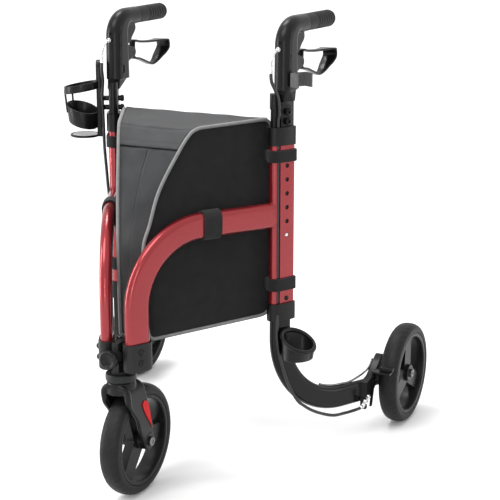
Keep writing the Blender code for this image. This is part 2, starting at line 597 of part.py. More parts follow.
def tube_socket(side):
    """The clamp that holds the foot of the bent tube, with the lug that turns on the hinge pin."""
    place = on_side(side)
    small = oval(SOCKET_LENGTH - 2 * SOCKET_CHAMFER, SOCKET_WIDTH - 2 * SOCKET_CHAMFER, ROUND + 4)
    full = oval(SOCKET_LENGTH, SOCKET_WIDTH, ROUND + 4)
    rings = [[place(s, n, z) for s, n in shape] for shape, z in
             ((small, SOCKET_LOW), (full, SOCKET_LOW + SOCKET_CHAMFER), (full, SOCKET_TOP))]
    socket = loft("tube_socket", rings)
    pin = Vector((PIN_X - FOOT_X, PIN_Y - FOOT_Y))
    pin_s = pin.x * math.sin(SIDE_ANGLE) + pin.y * math.cos(SIDE_ANGLE)
    pin_n = pin.x * math.cos(SIDE_ANGLE) - pin.y * math.sin(SIDE_ANGLE)
    lug_z = (LUG_LOW + GAP, LUG_HIGH)
    lug = prism("lug", circle(LUG_R, ROUND, pin_s, pin_n), *lug_z, place)
    bridge = block("bridge", (pin_s - LUG_R * 0.8, pin_s + LUG_R * 0.95), (pin_n, -SOCKET_WIDTH / 2 + 0.002),
                   lug_z, place)
    fuse(socket, bridge, lug)
    cavity = oval(TUBE_DEPTH + 2 * GAP, TUBE_WIDTH + 2 * GAP, TUBE_STEPS)
    cut(socket, prism("cavity", cavity, LUG_LOW, SOCKET_TOP + 0.01, place))
    cut(socket, prism("pin_hole", circle(PIN_R + GAP, ROUND, pin_s, pin_n), LUG_LOW - 0.01, LUG_HIGH + 0.01, place))
    out = SOCKET_WIDTH / 2
    for z in SOCKET_SCREWS:
        screw_place = lambda u, v, n, z=z: side_point(side, u, n, z + v)
        head = turned("screw", [(SCREW_HEAD_R, out - 0.001), (SCREW_HEAD_R, out + SCREW_HEAD_HEIGHT * 0.6),
                                (SCREW_HEAD_R * 0.7, out + SCREW_HEAD_HEIGHT)], ROUND, screw_place)
        fuse(socket, head)
    return socket


def tube_path():
    """The bent tube's centre line: up from the socket, round the bend and back to the upright."""
    path = [(0, LUG_LOW + GAP, math.pi / 2)]
    steps = 12
    turn = math.pi / 2 + TOP_SLOPE
    for i in range(steps + 1):
        angle = math.pi - turn * i / steps
        path.append((BEND_R + BEND_R * math.cos(angle), BEND_LOW + BEND_R * math.sin(angle), angle - math.pi / 2))
    reach = RAIL_S - RAIL_DEPTH / 2 + RAIL_WIDTH / 2 - 0.0008
    last_s, last_z, angle = path[-1]
    path.append((reach, last_z + (reach - last_s) * math.tan(angle), angle))
    return path


def frame_tube(side):
    """The bent oval tube, cut to fit round the upright's front lobe."""
    path = tube_path()
    inner = oval(TUBE_DEPTH - 2 * TUBE_WALL, TUBE_WIDTH - 2 * TUBE_WALL, TUBE_STEPS)
    outer_rings = sweep(path, oval(TUBE_DEPTH, TUBE_WIDTH, TUBE_STEPS), on_side(side))
    tube = hollow("frame_tube", outer_rings, sweep(path, inner, on_side(side)))
    lobe = -RAIL_DEPTH / 2 + RAIL_WIDTH / 2
    saddle = circle(RAIL_WIDTH / 2 + GAP, FINE, lobe, 0)
    z = path[-1][1]
    return cut(tube, prism("saddle", saddle, z - TUBE_DEPTH, z + TUBE_DEPTH, on_rail(side)))


def upright(side):
    """The hollow rail with the row of height holes in its outer face."""
    outer, inner = rail_outline(0), rail_outline(RAIL_WALL)
    rings = [[[side_point(side, RAIL_S + u, n, z) for u, n in shape] for z in (RAIL_LOW, RAIL_TOP)]
             for shape in (outer, inner)]
    rail = hollow("upright", rings[0], rings[1])
    out = RAIL_WIDTH / 2
    for i in range(HOLE_COUNT):
        hole_z = HOLE_LOW + HOLE_PITCH * i
        hole_place = across_rail(side, HOLE_U, hole_z)
        cut(rail, prism("hole", circle(HOLE_R, 12), out - 2 * RAIL_WALL, out + 0.005, hole_place))
    rivet = turned("rivet", [(HOLE_R, out - 0.001), (HOLE_R, out + 0.0008), (HOLE_R * 0.6, out + 0.0014)], 12,
                   across_rail(side, HOLE_U, RIVET_Z))
    return fuse(rail, rivet)


def rail_band(name, side, depth, width, low, high):
    """A ring round the upright, with room for it and for the cable in its groove."""
    place = on_rail(side)
    outer = lobed(depth, width, 0.006)
    inner = lobed(RAIL_DEPTH + 2 * GAP, RAIL_WIDTH + 2 * GAP, RAIL_CORNER)
    rings = [[[place(u, n, z) for u, n in shape] for z in (low, high)] for shape in (outer, inner)]
    return hollow(name, rings[0], rings[1])


def bag_strap(side, limits):
    """A webbing loop round the upright with the tab that holds the bag."""
    depth, width = RAIL_DEPTH + 2 * (GAP + STRAP_THICK), RAIL_WIDTH + 2 * (GAP + STRAP_THICK)
    strap = rail_band("bag_strap", side, depth, width, *limits)
    tab_n = (BAG_N + GAP, -width / 2 + STRAP_THICK * 0.6)
    tab_z = (limits[0] + 0.002, limits[1] - 0.002)
    tab_s = (RAIL_S - TAB_REACH, RAIL_S - TAB_REACH + TAB_WIDTH)
    return fuse(strap, block("tab", tab_s, tab_n, tab_z, on_side(side)))


def tube_strap(side):
    """A webbing loop round the top run of the bent tube, with its tab to the bag."""
    _, last_z, angle = tube_path()[-1]
    reach = tube_path()[-1][0]
    path = [(s, last_z - (reach - s) * math.tan(angle), angle) for s in TUBE_STRAP]
    outer = oval(TUBE_DEPTH + 2 * (GAP + STRAP_THICK), TUBE_WIDTH + 2 * (GAP + STRAP_THICK), TUBE_STEPS)
    inner = oval(TUBE_DEPTH + 2 * GAP, TUBE_WIDTH + 2 * GAP, TUBE_STEPS)
    strap = hollow("tube_strap", sweep(path, outer, on_side(side)), sweep(path, inner, on_side(side)))
    low = path[1][1]
    skin = -TUBE_WIDTH / 2 - GAP - STRAP_THICK * 0.4
    tab = block("tab", (TUBE_STRAP[0] + 0.003, TUBE_STRAP[1] - 0.003), (BAG_N + GAP, skin),
                (low - 0.008, low + 0.008), on_side(side))
    return fuse(strap, tab)


def top_cap(side):
    """The collar on the upright's upper end, which guides the post and the cable."""
    cap = prism("top_cap", lobed(CAP_DEPTH, CAP_WIDTH, 0.006), CAP_LOW, CAP_TOP, on_rail(side))
    room = lobed(RAIL_DEPTH + 2 * GAP, RAIL_WIDTH + 2 * GAP, RAIL_CORNER)
    cut(cap, prism("room", room, CAP_LOW - 0.01, RAIL_TOP + GAP, on_rail(side)))
    bore = rail_outline(RAIL_WALL)
    cut(cap, prism("bore", bore, RAIL_TOP - 0.01, CAP_TOP + 0.01, on_rail(side)))
    return cut(cap, cable_channel(side, CAP_TOP - 0.02, CAP_TOP + 0.01))


def lower_sleeve(side):
    """The sleeve that joins the upright to the leg, stepped to fit both."""
    sleeve = prism("lower_sleeve", lobed(SLEEVE_DEPTH, SLEEVE_WIDTH, 0.007), SLEEVE_LOW, SLEEVE_TOP,
                   on_rail(side))
    upper = lobed(RAIL_DEPTH + 2 * GAP, RAIL_WIDTH + 2 * GAP, RAIL_CORNER)
    lower = oval(LEG_DEPTH + 2 * GAP, LEG_WIDTH + 2 * GAP, TUBE_STEPS)
    cut(sleeve, prism("upper", upper, RAIL_LOW - GAP, SLEEVE_TOP + 0.01, on_rail(side)))
    cut(sleeve, prism("lower", lower, SLEEVE_LOW - 0.01, LEG_TOP + GAP, on_rail(side)))
    return cut(sleeve, as_mesh(cord("channel", cable_route(side), CABLE_R + GAP)))


def leg_path():
    """The leg's centre line: down from the upright, round to level and back to the bracket."""
    centre_s, centre_z = RAIL_S + LEG_R, LEG_AXIS_Z + LEG_R
    path = [(RAIL_S, LEG_TOP, -math.pi / 2)]
    steps = 9
    for i in range(steps + 1):
        angle = math.pi + math.pi / 2 * i / steps
        path.append((centre_s + LEG_R * math.cos(angle), centre_z + LEG_R * math.sin(angle), angle + math.pi / 2))
    path[1:] = [(s, z, angle - 2 * math.pi) for s, z, angle in path[1:]]
    return path + [(LEG_END, LEG_AXIS_Z, 0)]


def leg_tube(side):
    path = leg_path()
    inner = oval(LEG_DEPTH - 2 * LEG_WALL, LEG_WIDTH - 2 * LEG_WALL, TUBE_STEPS)
    outer_rings = sweep(path, oval(LEG_DEPTH, LEG_WIDTH, TUBE_STEPS), on_side(side))
    return hollow("leg_tube", outer_rings, sweep(path, inner, on_side(side)))


def rear_bracket(side):
    """The casting from the leg's end to the rear axle, with the brake's pivot face and cable stop."""
    place = lambda y, z, x: Vector((side * x, y, z))
    lower = ((-0.1369, -0.022), (-0.1159, -0.017), (-0.0899, -0.003), (-0.0509, -0.012), (-0.0159, -0.017))
    upper = ((-0.0439, 0.046), (-0.0519, 0.051), (-0.0589, 0.051), (-0.0779, 0.040), (-0.1069, 0.022),
             (-0.1369, 0.018))
    outline = [(REAR_Y + y, WHEEL_R + z) for y, z in lower]
    outline += arc(REAR_Y, WHEEL_R, 0.018, -80, 60, 6)
    outline += [(REAR_Y + y, WHEEL_R + z) for y, z in upper]
    plate = prism("rear_bracket", outline, BRACKET_IN, BRACKET_OUT, place)
    plug_rings = [[side_point(side, s, n, LEG_AXIS_Z + p) for p, n in oval(LEG_DEPTH, LEG_WIDTH, TUBE_STEPS)]
                  for s in (LEG_END + GAP, LEG_END + PLUG_LENGTH)]
    boss = prism("boss", circle(BRACKET_BOSS_R, FINE), BRACKET_OUT - 0.002, REAR_X - HUB_HALF - GAP,
                 along_x(side, REAR_Y, WHEEL_R))
    stop = block("stop", (STOP_Y, STOP_Y + STOP_LENGTH), (STOP_Z - 0.007, WHEEL_R - 0.016),
                 (BRACKET_IN + 0.0015, BRACKET_IN + 0.0015 + STOP_WIDTH), place)
    fuse(plate, loft("plug", plug_rings), boss, stop)
    bore = prism("bore", circle(AXLE_R + GAP, ROUND), BRACKET_IN - 0.02, REAR_X + 0.04,
                 along_x(side, REAR_Y, WHEEL_R))
    pivot = prism("pivot", circle(BRAKE_PIVOT_R * 0.6 + GAP, ROUND), BRACKET_OUT - 0.008, BRACKET_OUT + 0.01,
                  along_x(side, BRAKE_PIVOT_Y, BRAKE_PIVOT_Z))
    return cut(plate, bore, pivot)


def brake_arm(side):
    """The steel arm that the cable pulls: lever plate, pivot stud and the blade across the tread."""
    place = lambda y, z, x: Vector((side * x, y, z))
    low_x = BRACKET_OUT + GAP
    blade_back = REAR_Y - math.sqrt(WHEEL_R ** 2 - (BLADE_Z - WHEEL_R) ** 2) - BLADE_RUN
    half = BLADE_THICK / 2
    front, low, top = BRAKE_PIVOT_Y - 0.008, BRAKE_PIVOT_Z - ARM_DROP, BLADE_Z + half + 0.0005
    outline = [(front - 0.007, low), (front, low), (front + 0.010, BRAKE_PIVOT_Z - 0.012)]
    outline += [(front + 0.0145, BRAKE_PIVOT_Z), (front + 0.015, top), (front, top), (front + 0.001, BRAKE_PIVOT_Z)]
    outline += [(front - 0.001, BRAKE_PIVOT_Z - 0.012)]
    arm = prism("brake_arm", outline, low_x, low_x + ARM_THICK, place)
    blade = block("blade", (front, blade_back), (BLADE_Z - half, BLADE_Z + half),
                  (low_x + ARM_THICK / 2, BLADE_OUT), place)
    head = low_x + ARM_THICK
    stud = turned("stud", [(BRAKE_PIVOT_R * 0.6, BRACKET_OUT - 0.007), (BRAKE_PIVOT_R * 0.6, head - 0.001),
                           (BRAKE_PIVOT_R, head - 0.001), (BRAKE_PIVOT_R, head + 0.0015)], ROUND,
                  along_x(side, BRAKE_PIVOT_Y, BRAKE_PIVOT_Z))
    return fuse(arm, blade, stud)


def brake_pad(side):
    """The rubber block on the blade's outer end that rubs on the tyre."""
    blade_back = REAR_Y - math.sqrt(WHEEL_R ** 2 - (BLADE_Z - WHEEL_R) ** 2) - BLADE_RUN
    low = BLADE_Z + BLADE_THICK / 2 + GAP
    tread = REAR_Y - math.sqrt(WHEEL_R ** 2 - (low + PAD_HEIGHT - WHEEL_R) ** 2)
    outline = [(blade_back - PAD_DEPTH, low), (blade_back, low), (tread - BLADE_RUN, low + PAD_HEIGHT)]
    outline += [(blade_back - PAD_DEPTH, low + PAD_HEIGHT)]
    place = lambda y, z, x: Vector((side * x, y, z))
    return prism("brake_pad", outline, BLADE_OUT + 0.002 - PAD_WIDTH, BLADE_OUT + 0.002, place)


def post(side):
    """The hollow post that slides in the upright, with its clamp screws and the button's hole."""
    inset = RAIL_WALL + SLIDE_GAP
    shapes = (rail_outline(inset), rail_outline(inset + POST_WALL))
    rings = [[[side_point(side, RAIL_S + u, n, z) for u, n in shape] for z in (POST_LOW, POST_TOP)]
             for shape in shapes]
    body = hollow("post", rings[0], rings[1])
    lobe = prism("lobe", circle(LOBE_R, ROUND, LOBE_U, 0), POST_TOP - 0.012, LOBE_TOP, on_rail(side))
    half = RAIL_WIDTH / 2 - inset
    fuse(body, lobe)
    for z in POST_SCREWS:
        reach = half + (POST_SCREW_OUT if side > 0 else -0.0002)
        screw = prism("screw", circle(POST_SCREW_R, 12), -half - POST_NUT_IN, reach, across_rail(side, HOLE_U, z))
        fuse(body, screw)
    hole = prism("hole", circle(BUTTON_R + GAP, 12), 0, half + 0.01, across_rail(side, HOLE_U, HOLE_LOW))
    return cut(body, hole)


def snap_button(side):
    """The sprung button that locks the height, on the leaf that lies inside the post's outer wall."""
    out = RAIL_WIDTH / 2 - RAIL_WALL - SLIDE_GAP - POST_WALL - GAP
    leaf = block("snap_button", (HOLE_U - LEAF_HALF, HOLE_U + LEAF_HALF), (out - LEAF_THICK, out),
                 (HOLE_LOW - LEAF_DROP, HOLE_LOW + LEAF_HALF), on_rail(side))
    tip = RAIL_WIDTH / 2 + BUTTON_PROUD
    profile = [(BUTTON_R, out - LEAF_THICK / 2), (BUTTON_R, tip - 0.0012), (BUTTON_R * 0.6, tip)]
    return fuse(leaf, turned("tip", profile, 12, across_rail(side, HOLE_U, HOLE_LOW)))


def housing_path():
    """The housing's centre line in (a, z), with the section's depth at each place."""
    level = HOUSING_BEND + HOUSING_R
    path = [(HOUSING_A, HOUSING_LOW, 90, HOUSING_DEPTH)]
    path.append((HOUSING_A, HOUSING_LOW + HOUSING_HEIGHT / 2, 90, HOUSING_DEPTH - 0.002))
    steps = 6
    for i in range(steps + 1):
        angle = 180 - 90 * i / steps
        a = HOUSING_A + HOUSING_R + HOUSING_R * math.cos(math.radians(angle))
        z = HOUSING_BEND + HOUSING_R * math.sin(math.radians(angle))
        deep = HOUSING_DEPTH - 0.004
        path.append((a, z, angle - 90, deep - (deep - 2 * GRIP_R - 0.001) * i / steps))
    path.append((GRIP_START - GAP, level, 0, 2 * GRIP_R + 0.001))
    return path


def handle_housing(side):
    """The moulded housing: throat on the post, body, bend, finger rest and the lever's cheeks."""
    place = on_handle(side)
    rings = []
    for a, z, angle, depth in housing_path():
        share = (depth - 2 * GRIP_R) / (HOUSING_DEPTH - 2 * GRIP_R)
        width = 2 * GRIP_R + (HOUSING_WIDTH - 2 * GRIP_R) * share
        rings += sweep([(a, z, math.radians(angle))], oval(depth, width, ROUND + 2), place)
    body = loft("handle_housing", rings)
    throat_low = [(THROAT_FRONT, -THROAT_HALF), (THROAT_BACK, -THROAT_HALF), (THROAT_BACK, THROAT_HALF),
                  (THROAT_FRONT, THROAT_HALF)]
    low_ring = [side_point(side, RAIL_S + u, n, POST_TOP + GAP) for u, n in throat_low]
    high = ((-0.001, -0.0135), (0.036, -0.0135), (0.036, 0.0135), (-0.001, 0.0135))
    high_ring = [place(a, b, HOUSING_LOW + 0.002) for a, b in high]
    cheek_out = LEVER_HALF + GAP + CHEEK
    root = HOUSING_A + HOUSING_DEPTH * 0.36
    upright_place = lambda a, z, b: handle_point(side, a, b, z)
    cheek = prism("cheek", [(root, LEVER_Z - 2 * LEVER_HUB_R)] + arc(LEVER_A, LEVER_Z, LEVER_HUB_R, -90, 90, 6) +
                  [(root, LEVER_Z + 2 * LEVER_HUB_R)], -cheek_out, cheek_out, upright_place)
    low, high = HOUSING_BEND + REST_RISE, HOUSING_BEND + REST_RISE + REST_HEIGHT
    rest_outline = [(HOUSING_A + 0.012, low), (REST_BACK - 0.006, low), (REST_BACK, low + 0.006),
                    (REST_BACK - 0.003, high), (HOUSING_A + 0.027, high + 0.006)]
    rest = prism("rest", rest_outline, -REST_HALF, REST_HALF, upright_place)
    fuse(body, loft("throat", [low_ring, high_ring]), cheek, rest)
    slot_a = HOUSING_A + HOUSING_DEPTH / 2 + 0.002
    slot = block("slot", (slot_a, LEVER_A + 0.03), (-LEVER_HALF - GAP, LEVER_HALF + GAP),
                 (LEVER_Z - 0.03, LEVER_Z + 0.03), place)
    cut(body, slot)
    pin = prism("pin", circle(LEVER_PIN_R + GAP, 12), -0.03, 0.03, across_handle(side, LEVER_A, LEVER_Z))
    mouth = pipe_route(side)
    behind = mouth[0] * 2 - mouth[1]
    entry = as_mesh(cord("entry", [behind] + mouth[:8], PIPE_R + 2 * GAP))
    return cut(body, pin, entry)


def grip(side):
    """The round rubber grip with a domed end."""
    level = HOUSING_BEND + HOUSING_R
    dome, length = GRIP_DOME, GRIP_LENGTH
    profile = [(GRIP_R, 0), (GRIP_R + 0.0006, 0.004), (GRIP_R, length * 0.5), (GRIP_R + 0.0003, length - dome)]
    for i in range(1, 4):
        angle = math.radians(90 * i / 3.4)
        profile.append((GRIP_R * math.cos(angle), length - dome + dome * math.sin(angle)))
    place = lambda u, v, h: handle_point(side, GRIP_START + h, u, level + v)
    return turned("grip", profile, ROUND + 2, place)


def lever_loop():
    """The lever's closed loop as (a, z, half width): top bar, round tip, belly and lower bar."""
    top = [(0.088, 0.556), (0.271, 0.492), (0.469, 0.413), (0.711, 0.365), (0.956, 0.333), (0.993, 0.238)]
    tip = [(1.0, -0.095), (0.930, -0.365), (0.839, -0.597), (0.751, -0.841), (0.652, -1.0)]
    low = [(0.564, -0.968), (0.403, -0.746), (0.256, -0.540), (0.081, -0.317)]
    loop = []
    for along, rise in top + tip + low:
        t = min(max((along - LEVER_WIDENS) / (1 - LEVER_WIDENS), 0), 1)
        half = LEVER_HALF + (LEVER_TIP_HALF - LEVER_HALF) * t * t * (3 - 2 * t)
        loop.append((LEVER_A + along * LEVER_LENGTH, LEVER_Z + rise * LEVER_DEPTH, half))
    return loop


def brake_lever(side):
    """The loop lever: a ribbon bent into a closed loop, on a hub between the housing's cheeks."""
    loop = lever_loop()
    rings = []
    for i, (a, z, half) in enumerate(loop):
        before, after = loop[i - 1], loop[(i + 1) % len(loop)]
        along = Vector((after[0] - before[0], after[1] - before[1])).normalized()
        across = Vector((-along.y, along.x)) * LEVER_THICK / 2
        corners = ((1, -1), (1, 1), (-1, 1), (-1, -1))
        rings.append([handle_point(side, a + across.x * p, half * q, z + across.y * p) for p, q in corners])
    lever = loft("brake_lever", rings, loop=True)
    hub_half = LEVER_HALF - 0.0002
    reach, rise = LEVER_A + 0.079 * LEVER_LENGTH, 0.35 * LEVER_DEPTH
    outline = arc(LEVER_A, LEVER_Z, LEVER_HUB_R, 90, 270, 8) + [(reach, LEVER_Z - rise), (reach, LEVER_Z + rise)]
    hub = prism("hub", outline, -hub_half, hub_half, lambda a, z, b: handle_point(side, a, b, z))
    pin_half = LEVER_HALF + GAP + CHEEK
    pin = prism("pin", circle(LEVER_PIN_R, 12), -pin_half, pin_half, across_handle(side, LEVER_A, LEVER_Z))
    return fuse(lever, hub, pin)


def pipe_route(side):
    """The metal pipe's curve: out of the housing's front and down."""
    front = HOUSING_A - HOUSING_DEPTH / 2
    top = HOUSING_BEND + PIPE_RISE
    points = ((0.004, 0), (-0.006, 0), (-0.017, -0.003), (-0.027, -0.011), (-0.0315, -0.024))
    points += ((-0.0325, -0.034), (-0.0325, -0.044))
    return smooth_route([handle_point(side, front + a, 0, top + z) for a, z in points], 18)


def cable_pipe(side):
    return cord("cable_pipe", pipe_route(side), PIPE_R)


def groove_place():
    """The cable's middle in the upright's groove, as (s, n)."""
    return RAIL_S - RAIL_DEPTH / 2 + RAIL_WIDTH / 2, RAIL_WIDTH / 2 - GROOVE_DEPTH + CABLE_R + 0.0006


def cable_route(side):
    """The brake cable from the pipe, down the groove and the leg, to the stop on the rear bracket."""
    groove_s, groove_n = groove_place()
    low = HOUSING_BEND + PIPE_RISE - 0.044 - GAP
    front = HOUSING_A - HOUSING_DEPTH / 2
    top = [handle_point(side, front + a, b, low + z) for a, b, z in
           ((-0.0325, 0, 0), (-0.0315, 0.001, -0.0137), (-0.024, 0.004, -0.0287))]
    skin = LOBE_R + CABLE_R + 0.0012
    if side > 0:
        rail = [(groove_s - 0.006, skin + 0.002, RAIL_TOP + 0.058), (groove_s - 0.002, skin, RAIL_TOP + 0.044)]
        rail.append((groove_s, groove_n + 0.0034, RAIL_TOP + 0.026))
        rail.append((groove_s, groove_n + 0.0001, RAIL_TOP + 0.013))
        rail += [(groove_s, groove_n, RAIL_TOP - RAIL_LENGTH * share) for share in (0.1, 0.28, 0.52)]
    else:
        rail = [(groove_s + back, out, RAIL_TOP + rise) for back, out, rise in SLACK_CABLE]
    rail += [(groove_s, groove_n, RAIL_TOP - RAIL_LENGTH * share) for share in (0.64, 0.76, 0.91)]
    rail += [(groove_s, groove_n, RAIL_LOW + 0.009), (groove_s, groove_n + 0.0008, RAIL_LOW + 0.0005)]
    rail.append((groove_s - 0.0012, groove_n + 0.0022, RAIL_LOW - 0.0045))
    front, beside = RAIL_S - 0.0165, LEG_WIDTH / 2 + CABLE_R + 0.0004
    leg = [(front, beside - 0.0007, LEG_TOP - 0.001), (front, beside, LEG_TOP - 0.012)]
    for turn, out in ((0, 0.016), (12, 0.0136), (25.9, 0.0146), (37.6, 0.019), (48, 0.0249), (55, 0.0259),
                      (61.7, 0.0272), (70.4, 0.0289), (80.5, 0.032), (89, 0.0315)):
        turn = math.radians(turn)
        s, z = RAIL_S + LEG_R - (LEG_R + out) * math.cos(turn), LEG_AXIS_Z + LEG_R - (LEG_R + out) * math.sin(turn)
        leg.append((s, beside + (0.0002 if out > 0.02 else 0), z))
    last = [world_point(side, BRACKET_IN - 0.0035, STOP_Y - 0.021, STOP_Z - 0.0045),
            world_point(side, BRACKET_IN + 0.0063, STOP_Y - 0.009, STOP_Z - 0.0015),
            world_point(side, BRACKET_IN + 0.007, STOP_Y - 2 * GAP, STOP_Z)]
    side_places = [side_point(side, s, n, z) for s, n, z in rail + leg]
    return smooth_route(top + side_places + last, CABLE_POINTS)


def brake_cable(side):
    return cord("brake_cable", cable_route(side), CABLE_R)


def cable_channel(side, low, high):
    """A cutter along the cable's groove between two heights."""
    groove_s, groove_n = groove_place()
    shape = circle(CABLE_R + 2 * GAP, 12, groove_s, groove_n)
    return prism("channel", shape, low, high, on_side(side))


def crutch_clip(side):
    """An open U-shaped clip on a foot that is screwed to the side of the housing."""
    back = CLIP_N - CLIP_BACK
    inner, outer, tip = CLIP_HALF, CLIP_HALF + CLIP_WALL, CLIP_N + CLIP_REACH
    outline = [(-outer, back - CLIP_WALL), (outer, back - CLIP_WALL), (outer, tip), (inner, tip), (inner, back)]
    outline += [(-inner, back), (-inner, tip), (-outer, tip)]
    clip = prism("crutch_clip", [(CLIP_S + u, n) for u, n in outline], CLIP_LOW, CLIP_TOP, on_side(side))
    foot = block("foot", (CLIP_FOOT_FRONT, CLIP_FOOT_BACK), (HOUSING_WIDTH / 2 + GAP, CLIP_FOOT_REACH),
                 (CLIP_LOW + 0.004, CLIP_TOP - 0.004),
                 on_handle(side))
    fuse(clip, foot)
    room = block("room", (CLIP_S - inner, CLIP_S + inner), (back, tip + 0.01), (CLIP_LOW - 0.01, CLIP_TOP + 0.01),
                 on_side(side))
    return cut(clip, room)


def crutch_cup(side):
    """An open cup for a crutch tip, with a slanted lip, on a block screwed to the leg."""
    middle = LEG_WIDTH / 2 + CUP_CLEAR + CUP_B

    def ring(grow, height):
        places = []
        for u, v in ellipse(CUP_A + grow, CUP_B + grow, FINE):
            z = height if height < CUP_LOW + 0.01 else height - CUP_SLOPE * v
            places.append(side_point(side, CUP_S + u, middle + v, z))
        return places

    rings = [ring(0, CUP_LOW), ring(0, CUP_RIM - 0.0035), ring(CUP_LIP, CUP_RIM - 0.003), ring(CUP_LIP, CUP_RIM)]
    rings += [ring(-CUP_WALL, CUP_RIM), ring(-CUP_WALL, CUP_LOW + CUP_FLOOR)]
    cup = loft("crutch_cup", rings)
    front, back = RAIL_S - CUP_BLOCK_FRONT, RAIL_S + CUP_BLOCK_BACK
    low, high = CUP_LOW + CUP_BLOCK_LOW, CUP_LOW + CUP_BLOCK_HIGH
    wall = middle - CUP_B
    mount = block("mount", (front, back), (LEG_WIDTH / 2 + GAP, wall + CUP_WALL * 0.6), (low, high), on_side(side))
    return fuse(cup, mount)


def cup_holder(side):
    """The cup holder: back plate with its two screw barrels, tilted ring, bucket band, links and tray."""
    centre = lambda u, n, z: side_point(side, HOLDER_S + u, n, z)
    plate_out = HOLDER_PLATE_N + HOLDER_PLATE_THICK
    plate_outline = [(-HOLDER_PLATE_HALF, HOLDER_LOW)] + [(HOLDER_PLATE_HALF, HOLDER_LOW)]
    plate_outline += arc(0, HOLDER_TOP - HOLDER_PLATE_HALF, HOLDER_PLATE_HALF, 0, 180, 8)
    plate = prism("cup_holder", plate_outline, HOLDER_PLATE_N, plate_out, lambda u, z, n: centre(u, n, z))

    def band(name, radius, low_radius, height, z, tilt, lean):
        """A ring whose plane rises outward from the plate by tilt and backward by lean."""
        rings = []
        for grow, level in ((0, -0.5), (0, 0.5), (-RING_WALL, 0.5), (-RING_WALL, -0.5)):
            size = (radius if level > 0 else low_radius) + grow
            ring = []
            for u, v in circle(size, FINE):
                lift = v * math.tan(tilt) + u * math.tan(lean)
                ring.append(centre(u, HOLDER_N + v, z + height * level + lift))
            rings.append(ring)
        return loft(name, rings, loop=True)

    ring = band("ring", RING_R, RING_R, RING_HEIGHT, RING_Z, -RING_TILT, RING_LEAN)
    bucket = band("bucket", BUCKET_R, BUCKET_LOW_R, BUCKET_HEIGHT, BUCKET_Z, BUCKET_TILT, BUCKET_LEAN)
    tray_n = HOLDER_N - 0.003
    tray_z = (HOLDER_LOW - TRAY_DROP, HOLDER_LOW - TRAY_DROP + TRAY_THICK)
    tray = prism("tray", circle(TRAY_R, FINE, 0, tray_n), *tray_z, centre)
    fuse(plate, ring, bucket, tray)
    arm_z = ((RING_Z, RING_HEIGHT, RING_R), (BUCKET_Z, BUCKET_HEIGHT * 0.7, BUCKET_R))
    for z, height, radius in arm_z:
        reach = (plate_out - 0.002, HOLDER_N - radius + RING_WALL * 0.8)
        slope = RING_TILT if z == RING_Z else -BUCKET_TILT
        lift = radius * math.tan(slope)
        level = (z + lift - height / 2 + 0.001, z + lift + height / 2 - 0.001)
        fuse(plate, block("arm", (-ARM_HALF, ARM_HALF), reach, level, centre))
    for u in (-LINK_SIDE, LINK_SIDE):
        low = BUCKET_Z + BUCKET_R * math.tan(BUCKET_TILT)
        high = RING_Z - RING_R * math.tan(RING_TILT)
        out = HOLDER_N + math.sqrt(BUCKET_R ** 2 - u ** 2) - RING_WALL
        top_out = HOLDER_N + math.sqrt(RING_R ** 2 - u ** 2) - RING_WALL
        low_ring = [centre(u + p, out + q, low) for p, q in rounded_box(LINK_WIDTH, LINK_THICK, 0.0006, 1)]
        high_ring = [centre(u + p, top_out + q, high) for p, q in rounded_box(LINK_WIDTH, LINK_THICK, 0.0006, 1)]
        fuse(plate, loft("link", [low_ring, high_ring]))
    half = RAIL_WIDTH / 2 - RAIL_WALL - SLIDE_GAP
    for z in POST_SCREWS:
        barrel = prism("barrel", circle(POST_SCREW_R, 12), half + GAP, HOLDER_PLATE_N + 0.002,
                       across_rail(side, HOLE_U, z))
        fuse(plate, barrel)
    return plate


def bag_ring(s_front, s_back, z, inset=0.0):
    """A level outline of the bag: its sides follow both side frames."""
    front, back = side_point(1, s_front, BAG_N - inset, z), side_point(1, s_back, BAG_N - inset, z)
    c = BAG_CORNER
    tilt = math.tan(SIDE_ANGLE)
    points = [(front.x - c, front.y), (front.x + c * 0.5 * tilt, front.y + c * 0.5)]
    points += [(back.x - c * 0.4 * tilt, back.y - c * 0.4), (back.x - c, back.y)]
    return [Vector((x, y, z)) for x, y in points] + [Vector((-x, y, z)) for x, y in points[::-1]]


def lid_profile(inset):
    """The lid's outline in (s, z), from its hinge at the back to its front edge, moved in by inset."""
    points = [(BAG_BACK, BAG_TOP_BACK)] + list(BAG_FRONT[::-1][:len(BAG_FRONT) - LID_START])
    moved = []
    for i, (s, z) in enumerate(points):
        before, after = points[max(i - 1, 0)], points[min(i + 1, len(points) - 1)]
        along = Vector((after[0] - before[0], after[1] - before[1])).normalized()
        moved.append((s - along.y * inset, z + along.x * inset))
    return moved


def bag_body():
    """The soft bag between the side frames, closed under its lid."""
    inner = lid_profile(LID_THICK + GAP)
    rings = [bag_ring(s, BAG_BACK, z) for s, z in BAG_FRONT[:LID_START]]
    front_z = BAG_FRONT[LID_START][1]
    last_s, last_z = BAG_FRONT[LID_START - 1]
    share = 0.82
    edge_s, edge_z = BAG_FRONT[LID_START]
    rings.append(bag_ring(last_s + (edge_s - last_s) * share, BAG_BACK, last_z + (front_z - last_z) * share))
    for s, z in inner[:0:-1]:
        rings.append(bag_ring(s, BAG_BACK, z))
    top = rings[-1][0].z
    back_z = inner[0][1]
    for ring in rings[-1:]:
        for point in ring:
            if point.y > (side_point(1, inner[1][0], BAG_N, 0).y + side_point(1, BAG_BACK, BAG_N, 0).y) / 2:
                point.z = top + (back_z - top)
    return loft("bag_body", rings)


